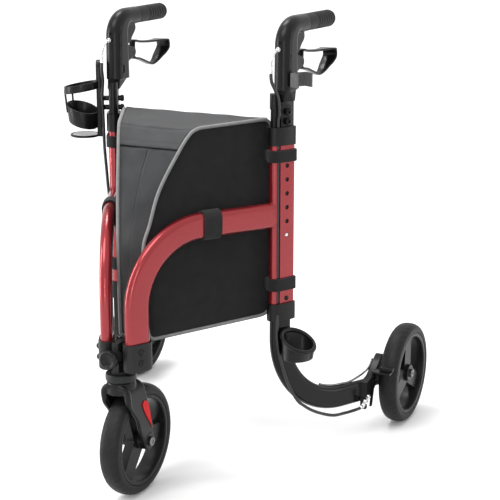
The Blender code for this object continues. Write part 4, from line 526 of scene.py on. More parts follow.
def node_noise(tree, size, detail=3.0, rough=0.5, stretch=(1, 1, 1)):
    place = tree.nodes.new("ShaderNodeTexCoord")
    mapping = tree.nodes.new("ShaderNodeMapping")
    mapping.inputs["Scale"].default_value = stretch
    grain = tree.nodes.new("ShaderNodeTexNoise")
    grain.inputs["Scale"].default_value = 1.0 / size
    grain.inputs["Detail"].default_value = detail
    grain.inputs["Roughness"].default_value = rough
    tree.links.new(place.outputs["Object"], mapping.inputs["Vector"])
    tree.links.new(mapping.outputs["Vector"], grain.inputs["Vector"])
    return grain.outputs["Fac"]


def node_range(tree, value, low, high, start=0.3, end=0.7):
    spread = tree.nodes.new("ShaderNodeMapRange")
    for name, number in (("From Min", start), ("From Max", end), ("To Min", low), ("To Max", high)):
        spread.inputs[name].default_value = number
    tree.links.new(value, spread.inputs["Value"])
    return spread.outputs["Result"]


def node_bump(tree, height, depth, normal=None):
    bump = tree.nodes.new("ShaderNodeBump")
    bump.inputs["Strength"].default_value = 1.0
    bump.inputs["Distance"].default_value = depth
    tree.links.new(height, bump.inputs["Height"])
    if normal is not None:
        tree.links.new(normal, bump.inputs["Normal"])
    return bump.outputs["Normal"]


def node_threads(tree, pitch, directions):
    """Crossing threads of a plain weave, from 0 in the gaps to 1 on the threads."""
    place = tree.nodes.new("ShaderNodeTexCoord")
    waves = []
    for direction in directions:
        wave = tree.nodes.new("ShaderNodeTexWave")
        wave.bands_direction = direction
        wave.inputs["Scale"].default_value = math.pi / (10 * pitch)
        wave.inputs["Distortion"].default_value = 0.6
        wave.inputs["Detail Scale"].default_value = 3.0
        tree.links.new(place.outputs["Object"], wave.inputs["Vector"])
        waves.append(wave.outputs["Fac"])
    larger = tree.nodes.new("ShaderNodeMath")
    larger.operation = "MAXIMUM"
    tree.links.new(waves[0], larger.inputs[0])
    tree.links.new(waves[1], larger.inputs[1])
    return larger.outputs[0]


def finish(name, colour, roughness, spread=0.06, tone=0.12, tone_size=0.05, grain=0.0009, depth=0.0,
           weave=None, stretch=(1, 1, 1), **shader_values):
    """A procedural finish: broad and fine tone, uneven gloss and surface grain or weave."""
    material = bpy.data.materials.new(name)
    material.use_nodes = True
    tree = material.node_tree
    shader = tree.nodes["Principled BSDF"]
    broad = node_noise(tree, tone_size, 4.0)
    low, high = ([max(c * (1 + k), 0.0) for c in colour] for k in (-tone, tone))
    tint = node_mix(tree, node_range(tree, broad, 0.0, 1.0), low, high)
    fine = node_noise(tree, grain, 2.0, 0.6, stretch)
    normal = None
    if weave:
        threads = node_threads(tree, *weave)
        dark = [c * 0.72 for c in colour]
        tint = node_mix(tree, threads, dark, tint)
        normal = node_bump(tree, threads, weave[0] * 0.35)
    tree.links.new(tint, shader.inputs["Base Color"])
    tree.links.new(node_range(tree, fine, roughness - spread, roughness + spread), shader.inputs["Roughness"])
    if depth:
        normal = node_bump(tree, fine, depth, normal)
    if normal is not None:
        tree.links.new(normal, shader.inputs["Normal"])
    for key, value in shader_values.items():
        shader.inputs[key.replace("_", " ")].default_value = value
    FINISHES[name] = material
    return material


def make_finishes():
    c = bpy.context.scene.rollator_colours
    # After the colour: roughness and its spread, tone and its size, the grain's size and depth
    finish("anodised red", c.frame_red, 0.25, 0.03, 0.05, 0.09, 0.0004, 0.000004, stretch=(1, 1, 0.12),
           Metallic=0.55, Coat_Weight=0.45, Coat_Roughness=0.08, Specular_IOR_Level=0.4)
    finish("black tube", c.black_metal, 0.24, 0.04, 0.10, 0.08, 0.0005, 0.000005, Specular_IOR_Level=0.2)
    finish("black plastic", c.plastic, 0.30, 0.05, 0.12, 0.04, 0.0006, 0.00002, Specular_IOR_Level=0.2)
    finish("cast grey", c.head_grey, 0.44, 0.06, 0.10, 0.03, 0.0008, 0.00003, Specular_IOR_Level=0.25)
    finish("rim plastic", c.rim_grey, 0.34, 0.06, 0.12, 0.03, 0.0009, 0.00003, Specular_IOR_Level=0.2)
    finish("tyre rubber", c.rubber, 0.50, 0.08, 0.25, 0.02, 0.0007, 0.00004, Specular_IOR_Level=0.2)
    finish("grip rubber", c.grip, 0.50, 0.07, 0.15, 0.02, 0.0006, 0.00005, Specular_IOR_Level=0.2)
    finish("bag side cloth", c.side_cloth, 0.82, 0.05, 0.18, 0.02, 0.0012, 0.00006, weave=(0.0009, ("Y", "Z")),
           Sheen_Weight=0.12, Sheen_Roughness=0.4, Specular_IOR_Level=0.15)
    # Painted light: the front cloth is the sides' black cloth coloured lighter as if lit from the front.
    finish("bag front cloth painted lit", c.front_cloth_painted_lit, 0.78, 0.05, 0.14, 0.03, 0.0012, 0.00006, weave=(0.0009, ("X", "Z")),
           Sheen_Weight=0.12, Sheen_Roughness=0.4, Specular_IOR_Level=0.15)
    # Painted light: the lid cloth is the sides' black cloth coloured lighter as if lit from above.
    finish("bag lid cloth painted lit", c.lid_cloth_painted_lit, 0.76, 0.05, 0.12, 0.03, 0.0012, 0.00006, weave=(0.0009, ("X", "Y")),
           Sheen_Weight=0.12, Sheen_Roughness=0.4, Specular_IOR_Level=0.15)
    finish("piping", c.piping, 0.70, 0.06, 0.12, 0.01, 0.0006, 0.00008, Sheen_Weight=0.2)
    finish("webbing", c.side_cloth, 0.80, 0.05, 0.25, 0.008, 0.0005, 0.00006, weave=(0.0012, ("DIAGONAL", "Z")),
           Sheen_Weight=0.15, Specular_IOR_Level=0.15)
    finish("red inlay", c.inlay, 0.35, 0.03, 0.06, 0.02, 0.0008, 0.00001, Specular_IOR_Level=0.15)
    finish("steel", c.steel, 0.24, 0.06, 0.10, 0.01, 0.0005, 0.00001, Metallic=1.0)
    finish("dark steel", c.dark_steel, 0.22, 0.06, 0.15, 0.01, 0.0005, 0.00001, Metallic=1.0)
    finish("cable sheath", c.plastic, 0.30, 0.05, 0.15, 0.02, 0.0008, 0.00002)
    finish("tray grey", (0.45, 0.45, 0.45), 0.5, 0.05, 0.06, 0.01, 0.0007, 0.00003)
    finish("clip grey", (0.11, 0.11, 0.113), 0.62, 0.08, 0.25, 0.006, 0.0008, 0.00008)


NODE_FINISHES = (
    ("head_block", "cast grey"), ("tube_socket", "cast grey"), ("steering_collar", "cast grey"),
    ("hinge_pin", "dark steel"), ("fork_inlay", "red inlay"), ("front_axle", "dark steel"),
    ("crutch_clip", "clip grey"), ("top_cap", "black plastic"), ("lower_sleeve", "black plastic"),
    ("upper_strap", "webbing"), ("lower_strap", "webbing"), ("tube_strap", "webbing"),
    ("rear_bracket", "black plastic"), ("rear_axle", "dark steel"), ("brake_arm", "black tube"),
    ("brake_pad", "tyre rubber"), ("post", "black tube"), ("snap_button", "steel"),
)


def smoothing_group():
    """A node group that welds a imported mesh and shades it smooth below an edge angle."""
    group = bpy.data.node_groups.new("Smooth below angle", "GeometryNodeTree")
    for way in ("INPUT", "OUTPUT"):
        group.interface.new_socket("Geometry", in_out=way, socket_type="NodeSocketGeometry")
    nodes, links = group.nodes, group.links
    start, end = nodes.new("NodeGroupInput"), nodes.new("NodeGroupOutput")
    weld = nodes.new("GeometryNodeMergeByDistance")
    weld.inputs["Distance"].default_value = 0.00001
    clear = nodes.new("GeometryNodeRemoveAttribute")
    clear.inputs["Name"].default_value = "custom_normal"
    faces, edges = nodes.new("GeometryNodeSetShadeSmooth"), nodes.new("GeometryNodeSetShadeSmooth")
    faces.domain, edges.domain = "FACE", "EDGE"
    edges.inputs["Shade Smooth"].default_value = False
    angle, limit = nodes.new("GeometryNodeInputMeshEdgeAngle"), nodes.new("FunctionNodeCompare")
    limit.data_type, limit.operation = "FLOAT", "GREATER_THAN"
    limit.inputs[1].default_value = math.radians(33)
    links.new(angle.outputs["Unsigned Angle"], limit.inputs[0])
    links.new(limit.outputs[0], edges.inputs["Selection"])
    chain = [start, weld, clear, faces, edges, end]
    for first, second in zip(chain, chain[1:]):
        links.new(first.outputs["Geometry"] if "Geometry" in first.outputs else first.outputs[0],
                  second.inputs["Geometry"] if "Geometry" in second.inputs else second.inputs[0])
    return group


class ROLLATOR_OT_finishes(bpy.types.Operator):
    """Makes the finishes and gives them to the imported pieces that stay, with rounded edges"""
    bl_idname = "rollator.finishes"
    bl_label = "Finishes"

    def execute(self, context):
        make_finishes()
        group = smoothing_group()
        for name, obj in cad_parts.items():
            found = [finish_name for start, finish_name in NODE_FINISHES if name.startswith(start)]
            material = FINISHES[found[0] if found else "black plastic"]
            for slot in obj.material_slots:
                slot.material = material
            if found:
                step = obj.modifiers.new("Smooth", "NODES")
                step.node_group = group
                flat = obj.modifiers.new("Flat faces", "DECIMATE")
                flat.decimate_type, flat.angle_limit = "DISSOLVE", math.radians(0.5)
                soften(obj, sizes().edge * (0.4 if "screw" in name or "axle" in name else 1.0))
        return {"FINISHED"}


# Frame tubes

def tube_path():
    path = [(0, TUBE_LOW, math.pi / 2)]
    turn = math.pi / 2 + TOP_SLOPE
    for i in range(BEND_STEPS + 1):
        angle = math.pi - turn * i / BEND_STEPS
        s, z = BEND_R + BEND_R * math.cos(angle), BEND_LOW + BEND_R * math.sin(angle)
        path.append((s, z, angle - math.pi / 2))
    return path


def saddle_ring(path_point, outline, side, room):
    """Where a sweep's outline meets the upright's round lobe, carried on along its last direction."""
    u, z, angle = path_point
    ring = []
    for p, q in outline:
        s, height = u - p * math.sin(angle), z + p * math.cos(angle)
        reach = LOBE_S - math.sqrt((RAIL_WIDTH / 2 + room) ** 2 - q ** 2)
        t = (reach - s) / math.cos(angle)
        ring.append(side_point(side, reach, q, height + t * math.sin(angle)))
    return ring


class ROLLATOR_OT_frame_tubes(bpy.types.Operator):
    """Bends the two oval frame tubes and lays their weld beads on the uprights"""
    bl_idname = "rollator.frame_tubes"
    bl_label = "Frame tubes"

    def execute(self, context):
        outline = oval(TUBE_DEPTH, TUBE_WIDTH, 48)
        for side, word in SIDES:
            path = tube_path()
            rings = [swept_ring(point, outline, on_side(side)) for point in path]
            end = saddle_ring(path[-1], outline, side, GAP)
            for share in (0.25, 0.5, 0.75, 1.0):
                rings.append([a.lerp(b, share) for a, b in zip(rings[len(path) - 1], end)])
            tube = loft(f"bent_tube_{word}", rings, sharp=50)
            dress(tube, f"side_{word}", "red_metal", FINISHES["anodised red"], f"frame_tube_{word}")
            seam = saddle_ring(path[-1], outline, side, 0.0004)
            bead = closed_cord(f"weld_{word}", seam, sizes().weld, 8, ripple=0.18, waves=22)
            dress(bead, f"side_{word}", "red_metal", FINISHES["anodised red"])
        return {"FINISHED"}


class ROLLATOR_OT_uprights(bpy.types.Operator):
    """Builds the hollow uprights with their cable groove, height holes and rivets"""
    bl_idname = "rollator.uprights"
    bl_label = "Uprights"

    def execute(self, context):
        for side, word in SIDES:
            place = on_rail(side)
            ends = ((0, RAIL_LOW), (0, RAIL_TOP), (RAIL_WALL, RAIL_TOP), (RAIL_WALL, RAIL_LOW))
            rings = [[place(u, n, z) for u, n in rail_outline(inset)] for inset, z in ends]
            rail = loft(f"rail_{word}", rings, loop=True)
            across = lambda z: lambda u, v, h: place(HOLE_U + u, h, z + v)
            holes = [prism("hole", circle(HOLE_R, 28), 0.006, 0.016, across(HOLE_LOW + HOLE_PITCH * i))
                     for i in range(HOLE_COUNT)]
            cut(rail, joined("holes", holes))
            shade(rail, 30)
            soften(rail, 0.0004, 2, 40)
            dress(rail, f"side_{word}", "red_metal", FINISHES["anodised red"], f"upright_{word}")
            rivet = turned(f"rivet_{word}", [(r, RAIL_WIDTH / 2 + h) for r, h in RIVET], 24, across(RIVET_Z))
            dress(rivet, f"side_{word}", "black_metal", FINISHES["black tube"])
        return {"FINISHED"}


class ROLLATOR_OT_legs(bpy.types.Operator):
    """Bends the two curved legs"""
    bl_idname = "rollator.legs"
    bl_label = "Legs"

    def execute(self, context):
        outline = oval(LEG_DEPTH, LEG_WIDTH, 48)
        centre_s, centre_z = RAIL_S + LEG_R, LEG_AXIS_Z + LEG_R
        path = [(RAIL_S, LEG_TOP, -math.pi / 2)]
        for i in range(BEND_STEPS + 1):
            angle = math.pi + math.pi / 2 * i / BEND_STEPS
            s, z = centre_s + LEG_R * math.cos(angle), centre_z + LEG_R * math.sin(angle)
            path.append((s, z, angle - 1.5 * math.pi))
        path.append((LEG_END, LEG_AXIS_Z, 0))
        for side, word in SIDES:
            leg = loft(f"leg_{word}", [swept_ring(point, outline, on_side(side)) for point in path], sharp=50)
            dress(leg, f"side_{word}", "black_metal", FINISHES["black tube"], f"leg_tube_{word}")
        return {"FINISHED"}


# Wheels

def tread_depth(turn, width):
    """How deep the tread is cut at a share of a turn and a share of the half width, from 0 to 1."""
    lean = abs(width) - 0.6
    phase = (turn * TREAD_SLITS + lean + (0.5 if width > 0 else 0.0)) % 1.0
    across = smoothstep((0.10 - abs(phase - 0.5)) / 0.05)
    along = smoothstep((abs(width) - 0.45) / 0.06) * smoothstep((0.90 - abs(width)) / 0.06)
    tooth = abs((turn * TREAD_TEETH) % 1.0 - 0.5) * 2
    ridge = abs(abs(width) - 0.10 - 0.20 * smoothstep(tooth))
    middle = 0.6 * smoothstep((0.045 - ridge) / 0.03)
    return max(across * along, middle)


def tyre_profile():
    """The tyre's outside as (radius, share of the half width), from bead to bead."""
    shape = ((0.0, 0.93), (0.03, 0.97), (0.15, 1.0), (0.42, 1.0), (0.58, 0.96), (0.72, 0.86), (0.84, 0.71),
             (0.93, 0.51), (0.98, 0.31), (1.0, 0.10))
    half = [(WHEEL_R - TYRE_BEAD * (1 - rise), width) for rise, width in shape]
    route = [Vector((r, -w, 0)) for r, w in half] + [Vector((r, w, 0)) for r, w in half[::-1]]
    return [(p.x, p.y) for p in smooth_route(route, 46)]


def build_tyre(name, x, y):
    steps, deep = sizes().tyre_steps, sizes().tread_depth
    profile = tyre_profile()
    seat = RIM_OUTER - RIM_WAIST + GAP
    rings = []
    for i in range(steps):
        turn = i / steps
        angle = 2 * math.pi * turn
        ring = []
        for r, w in [(seat, 0.66)] + [(seat, -0.66)] + profile:
            if r > WHEEL_R - TREAD_ZONE:
                r -= deep * tread_depth(turn, w) * smoothstep((r - WHEEL_R + TREAD_ZONE) / 0.002)
            ring.append(Vector((x + w * TYRE_HALF, y + r * math.cos(angle), WHEEL_R + r * math.sin(angle))))
        rings.append(ring)
    return loft(name, rings, loop=True, sharp=50)


def build_rim(name, x, y, turn):
    """Rim ring with rolled lips, hub and three broad spokes."""
    place = lambda u, v, h: Vector((x + h, y + u, WHEEL_R + v))
    waist = RIM_OUTER - RIM_WAIST
    half = [(RIM_INNER, RIM_HALF - 0.004), (RIM_INNER + 0.0006, RIM_HALF - 0.0015),
            (RIM_INNER + 0.0022, RIM_HALF), (RIM_OUTER - RIM_LIP, RIM_HALF), (RIM_OUTER, RIM_HALF - RIM_LIP),
            (waist, RIM_HALF - 0.005)]
    profile = [(r, -h) for r, h in half] + half[::-1]
    ring = turned("ring", profile, 120, place, loop=True)
    bore = AXLE_R + GAP
    hub_half = [(bore, HUB_HALF), (HUB_R - HUB_EDGE, HUB_HALF), (HUB_R, HUB_HALF - HUB_EDGE)]
    hub_profile = [(r, -h) for r, h in hub_half] + hub_half[::-1]
    hub = turned("hub", hub_profile, 48, place, loop=True)
    for i in range(SPOKE_COUNT):
        angle = math.radians(turn + 360 / SPOKE_COUNT * i)
        along, across = (math.cos(angle), math.sin(angle)), (-math.sin(angle), math.cos(angle))
        ends = ((SPOKE_START, SPOKE_HALF + SPOKE_TAPER), ((RIM_INNER + waist) / 2, SPOKE_HALF - SPOKE_TAPER))
        outline = [(ends[0][0], -ends[0][1]), (ends[1][0], -ends[1][1]), ends[1], ends[0]]
        corners = [(r * along[0] + w * across[0], r * along[1] + w * across[1]) for r, w in outline]
        fuse(ring, prism("spoke", corners, -SPOKE_DEPTH, SPOKE_DEPTH, place))
    fuse(ring, hub)
    ring.name = name
    shade(ring, 25)
    soften(ring, 0.0009, 2, 40)
    return ring


class ROLLATOR_OT_wheels(bpy.types.Operator):
    """Builds the three tyres with their tread and the three spoked rims"""
    bl_idname = "rollator.wheels"
    bl_label = "Wheels"

    def execute(self, context):
        for start, end, x, y, turn in (("front", "", 0.0, FRONT_Y, FRONT_TURN),
                                       ("rear", "_left", REAR_X, REAR_Y, REAR_TURN),
                                       ("rear", "_right", -REAR_X, REAR_Y, REAR_TURN)):
            body = f"{start}_wheel{end}"
            tyre = build_tyre(f"tread_{start}{end}", x, y)
            dress(tyre, body, "tyre", FINISHES["tyre rubber"], f"{start}_tyre{end}")
            rim = build_rim(f"spoked_rim_{start}{end}", x, y, turn)
            dress(rim, body, "wheel_black", FINISHES["rim plastic"], f"{start}_rim{end}")
        return {"FINISHED"}


def fork_section(z):
    """The middle and the depth of the fork's arm at height z, along Y."""
    rise = min(max((z - WHEEL_R) / (STEER_LOW - WHEEL_R), 0.0), 1.0)
    shares = [Vector(row) for row in FORK_ARM]
    k = max(i for i, row in enumerate(shares[:-1]) if row.x <= rise + 1e-9)
    low, high = shares[k], shares[k + 1]
    before, after = shares[max(k - 1, 0)], shares[min(k + 2, len(shares) - 1)]
    t = (rise - low.x) / (high.x - low.x)
    room = high.x - low.x
    slope_low = (high - before) / max(high.x - before.x, 1e-6) * room
    slope_high = (after - low) / max(after.x - low.x, 1e-6) * room
    row = low * (1 - 3 * t ** 2 + 2 * t ** 3) + high * (3 * t ** 2 - 2 * t ** 3)
    row += slope_low * (t - 2 * t ** 2 + t ** 3) + slope_high * (t ** 3 - t ** 2)
    return CASTER_Y + TRAIL * (1 - row.y), row.z


def fork_path(steps=24, corner_steps=12):
    """The fork's middle line as (x, z, angle), up one arm, over the crown and down the other."""
    mid, level = FORK_HALF - FORK_THICK / 2, STEER_LOW - GAP - 0.003 - FORK_THICK / 2
    corner_z = level - FORK_CORNER
    turn = 90 / corner_steps
    rounds = ((mid - FORK_CORNER, 0), (FORK_CORNER - mid, 90))
    path = [(mid, WHEEL_R + (corner_z - WHEEL_R) * i / steps, 90) for i in range(steps)]
    for centre, start in rounds:
        corner = arc(centre, corner_z, FORK_CORNER, start, start + 90, corner_steps)
        path += [(x, z, 90 + start + turn * i) for i, (x, z) in enumerate(corner)]
    return path + [(-mid, corner_z - (corner_z - WHEEL_R) * i / steps, 270) for i in range(1, steps + 1)]


class ROLLATOR_OT_fork(bpy.types.Operator):
    """Builds the caster fork as one casting with full soft edges"""
    bl_idname = "rollator.fork"
    bl_label = "Fork"

    def execute(self, context):
        arms, lip = [], []
        for x, z, angle in fork_path():
            across = Vector((-math.sin(math.radians(angle)), 0, math.cos(math.radians(angle))))
            middle, depth = fork_section(z)
            section = rounded_box(FORK_THICK, depth, FORK_THICK * 0.45, 5)
            arms.append([Vector((x, middle + q, z)) + across * p for p, q in section])
            grow = smoothstep((z - FORK_LIP_LOW) / FORK_LIP_RISE)
            if grow > 0.0:
                radius = FORK_THICK / 2 + FORK_LIP_GROW * grow
                front = Vector((x, middle - depth / 2 + radius, z)) + across * FORK_LIP_OUT * grow
                lip.append([front + across * p + Vector((0, q, 0)) for p, q in circle(radius, 20)])
        parts = [loft("arms", arms), loft("lip", lip)]
        crown = lambda u, v, h: Vector((u, CASTER_Y + v, h))
        parts.append(turned("bell", [(radius, z) for z, radius in FORK_BELL], 64, crown))
        for side, _ in SIDES:
            hub = [(FORK_HUB_R, HUB_HALF + GAP), (FORK_HUB_R, FORK_HALF - HUB_EDGE),
                   (FORK_HUB_R - HUB_EDGE, FORK_HALF + 0.0008)]
            parts.append(turned("hub", hub, 48, along_x(side, FRONT_Y, WHEEL_R)))
        fork = melted(joined("fork_casting", parts), MELT_VOXEL, 5)
        bore = prism("bore", circle(AXLE_R + GAP, 32), -0.05, 0.05, along_x(1, FRONT_Y, WHEEL_R))
        cut(fork, bore)
        shade(fork, 45)
        dress(fork, "caster", "black_plastic", FINISHES["black plastic"], "fork")
        return {"FINISHED"}


class ROLLATOR_OT_knob(bpy.types.Operator):
    """Turns the lock knob: a thick rim round a dished face, with shallow finger flutes"""
    bl_idname = "rollator.knob"
    bl_label = "Lock knob"

    def execute(self, context):
        profile = [(KNOB_STUD_R, KNOB_BACK + KNOB_STUD), (KNOB_STUD_R, KNOB_BACK),
                   (KNOB_R - 0.002, KNOB_BACK), (KNOB_R - 0.0004, KNOB_BACK - 0.0016)]
        rim_front = ((0.0, 0.004), (0.0006, 0.0018), (0.0020, 0.0003), (0.0034, 0.0002), (0.0044, 0.0012))
        profile += [(KNOB_R - inset, KNOB_FRONT + back) for inset, back in rim_front]
        profile += [(KNOB_DISH_R * t, KNOB_FRONT + 0.0022 + 0.0024 * (1 - t * t))
                    for t in (1.0, 0.8, 0.6, 0.4, 0.2, 0.01)]
        rings = []
        for radius, y in profile:
            rim = smoothstep((radius - KNOB_R + 0.003) / 0.002) * smoothstep((y - KNOB_FRONT - 0.001) / 0.002)
            ring = []
            for j in range(96):
                t = 2 * math.pi * j / 96
                r = radius - KNOB_FLUTE_DEPTH * rim * (0.5 - 0.5 * math.cos(KNOB_FLUTES * t)) ** 3
                ring.append(Vector((r * math.cos(t), y, KNOB_Z + r * math.sin(t))))
            rings.append(ring)
        knob = loft("dished_knob", rings, sharp=60)
        dress(knob, "knob", "black_plastic", FINISHES["black plastic"], "lock_knob")
        return {"FINISHED"}


# Handles

def build_housing(side, word):
    place = on_handle(side)
    rings, straight, bend = [], 8, 24
    deep, thin = HOUSING_DEPTH - HOUSING_TAPER, 2 * GRIP_R + 0.001
    path = [(HOUSING_A, HOUSING_LOW + (HOUSING_BEND - HOUSING_LOW) * i / straight, 90,
             HOUSING_DEPTH - HOUSING_TAPER * i / straight) for i in range(straight)]
    corner = arc(HOUSING_A + HOUSING_R, HOUSING_BEND, HOUSING_R, 180, 90, bend)
    path += [(a, z, 90 - 90 * i / bend, deep - (deep - thin) * smoothstep(i / bend))
             for i, (a, z) in enumerate(corner)]
    path += [(a, GRIP_Z, 0, thin) for a in (0.062, 0.074, GRIP_START - GAP)]
    for a, z, angle, depth in path:
        share = (depth - 2 * GRIP_R) / (HOUSING_DEPTH - 2 * GRIP_R)
        width = 2 * GRIP_R + (HOUSING_WIDTH - 2 * GRIP_R) * share
        rings.append(swept_ring((a, z, math.radians(angle)), rounded_box(depth, width, width * 0.47, 8), place))
    parts = [loft("body", rings)]
    low = [side_point(side, RAIL_S + u + 0.01025, n, POST_TOP + GAP)
           for u, n in rounded_box(*THROAT_LOW)]
    high = [place(u + 0.0175, n, HOUSING_LOW + 0.002) for u, n in rounded_box(*THROAT_HIGH)]
    parts.append(loft("throat", [low, high]))
    out = LEVER_HALF + GAP + CHEEK
    root = HOUSING_A + HOUSING_DEPTH * 0.36
    flat = lambda a, z, b: handle_point(side, a, b, z)
    cheek = [(root, LEVER_Z - 2 * LEVER_HUB_R)] + arc(LEVER_A, LEVER_Z, LEVER_HUB_R, -90, 90, 16)
    parts.append(prism("cheek", cheek + [(root, LEVER_Z + 2 * LEVER_HUB_R)], -out, out, flat))
    bulge = [Vector((HOUSING_A + a, 0, HOUSING_BEND + z)) for a, z in FINGER_REST]
    outline = [(p.x, p.z) for p in smooth_route(bulge, 24)]
    parts.append(prism("rest", outline, -0.0075, 0.0075, flat))
    shell = melted(joined(f"housing_{word}", parts), MELT_VOXEL, 4)
    slot_a = HOUSING_A + HOUSING_DEPTH / 2 + 0.002
    room = [(slot_a, LEVER_Z - 0.03), (LEVER_A + 0.03, LEVER_Z - 0.03), (LEVER_A + 0.03, LEVER_Z + 0.026),
            (slot_a, LEVER_Z + 0.026)]
    half = LEVER_HALF + GAP
    cut(shell, prism("slot", room, -half, half, flat))
    pin = lambda u, v, h: handle_point(side, LEVER_A + u, h, LEVER_Z + v)
    cut(shell, prism("pin", circle(LEVER_PIN_R + GAP, 16), -0.03, 0.03, pin))
    front = lambda u, v, h: handle_point(side, HOUSING_A - HOUSING_DEPTH / 2 + h, u, v)
    through = lambda u, v, h: handle_point(side, TINY_HOLE[0] + u, h, TINY_HOLE[1] + v)
    inner = lambda u, v, h: handle_point(side, OVAL_HOLE[0] + u, h, OVAL_HOLE[1] + v)
    cut(shell, prism("recess", circle(0.0025, 20, 0, RECESS_Z), -0.01, 0.005, front),
        prism("mouth", circle(0.0033, 20, 0, MOUTH_Z), -0.01, 0.004, front),
        prism("tiny", circle(0.0013, 12), -0.03, 0.03, through),
        prism("oval", [(y, x) for x, y in oval(0.016, 0.010, 24)], -0.03, -0.0150, inner))
    shade(shell, 45)
    return shell


def build_grip(side, word):
    """The round rubber grip: soft ribs over its rear half and a domed end."""
    height, pitch = sizes().rib_height, sizes().rib_pitch
    profile = [(GRIP_R * 0.6, 0.0), (GRIP_R - GRIP_EDGE, 0.0), (GRIP_R, GRIP_EDGE)]
    steps, dome_steps = 110, 12
    end = GRIP_LENGTH - GRIP_DOME
    for i in range(1, steps):
        h = GRIP_EDGE + (end - GRIP_EDGE) * i / steps
        rib = smoothstep((h - RIB_START) / RIB_FADE_IN) * smoothstep((end + 0.004 - h) / RIB_FADE_OUT)
        wave = abs(math.sin(math.pi * (h - RIB_START) / pitch)) ** 0.6
        profile.append((GRIP_R - height * 0.6 * rib + height * 1.6 * rib * (wave - 0.5), h))
    for i in range(dome_steps + 1):
        angle = math.radians(88 * i / dome_steps)
        radius = (GRIP_R - height * 0.3) * math.cos(angle)
        profile.append((max(radius, 0.0006), end + GRIP_DOME * math.sin(angle)))
    place = lambda u, v, h: handle_point(side, GRIP_START + h, u, GRIP_Z + v)
    return turned(f"ribbed_grip_{word}", profile, 56, place, sharp=60)


def build_lever(side, word):
    """The loop lever: a bent strap with rounded edges that widens into a cupped rest for two fingers."""
    loop = [Vector((LEVER_A + a * LEVER_LENGTH, 0, LEVER_Z + z * LEVER_DEPTH)) for a, z in LEVER_LOOP]
    steps = 12
    route = smooth_route([loop[-1]] + loop + loop[:2], (len(loop) + 2) * steps)[steps:-2 * steps]
    rings = []
    for i, point in enumerate(route):
        ahead = (route[(i + 1) % len(route)] - route[i - 1]).normalized()
        share = (point.x - LEVER_A) / LEVER_LENGTH
        t = smoothstep((share - LEVER_WIDENS) / (1 - LEVER_WIDENS))
        half = LEVER_HALF + (LEVER_TIP_HALF - LEVER_HALF) * t
        across = Vector((-ahead.z, 0, ahead.x))
        section = rounded_box(LEVER_THICK * (1 - 0.25 * t), 2 * half, LEVER_THICK * 0.35, 4)
        ring = []
        for p, q in section:
            lift = LEVER_CUP * t * ((q / half) ** 2 - 0.5)
            spot = point + across * (p + lift)
            ring.append(handle_point(side, spot.x, q, spot.z))
        rings.append(ring)
    lever = loft("strap", rings, loop=True, sharp=50)
    flat = lambda a, z, b: handle_point(side, a, b, z)
    reach, rise = LEVER_A + 0.079 * LEVER_LENGTH, 0.35 * LEVER_DEPTH
    hub_outline = arc(LEVER_A, LEVER_Z, LEVER_HUB_R, 90, 270, 20)
    hub_outline += [(reach, LEVER_Z - rise), (reach, LEVER_Z + rise)]
    hub = soften(prism("hub", hub_outline, -LEVER_HALF + 0.0002, LEVER_HALF - 0.0002, flat), 0.0006)
    pin_place = lambda u, v, h: handle_point(side, LEVER_A + u, h, LEVER_Z + v)
    pin_half = LEVER_HALF + GAP + CHEEK
    pin = soften(prism("pin", circle(LEVER_PIN_R, 20), -pin_half, pin_half, pin_place), 0.0004)
    return joined(f"loop_lever_{word}", [lever, apply_all(hub), apply_all(pin)], 45)


class ROLLATOR_OT_handles(bpy.types.Operator):
    """Builds the handle housings, the ribbed grips and the loop levers"""
    bl_idname = "rollator.handles"
    bl_label = "Handles"

    def execute(self, context):
        for side, word in SIDES:
            dress(build_housing(side, word), f"handle_{word}", "black_plastic", FINISHES["black plastic"],
                  f"handle_housing_{word}")
            dress(build_grip(side, word), f"handle_{word}", "rubber", FINISHES["grip rubber"], f"grip_{word}")
            dress(build_lever(side, word), f"lever_{word}", "black_plastic", FINISHES["black tube"],
                  f"brake_lever_{word}")
        return {"FINISHED"}


# Cables

def pipe_route(side, count=40):
    front, top = HOUSING_A - HOUSING_DEPTH / 2, HOUSING_BEND + 0.001
    return smooth_route([handle_point(side, front + a, 0, top + z) for a, z in PIPE_BEND], count)


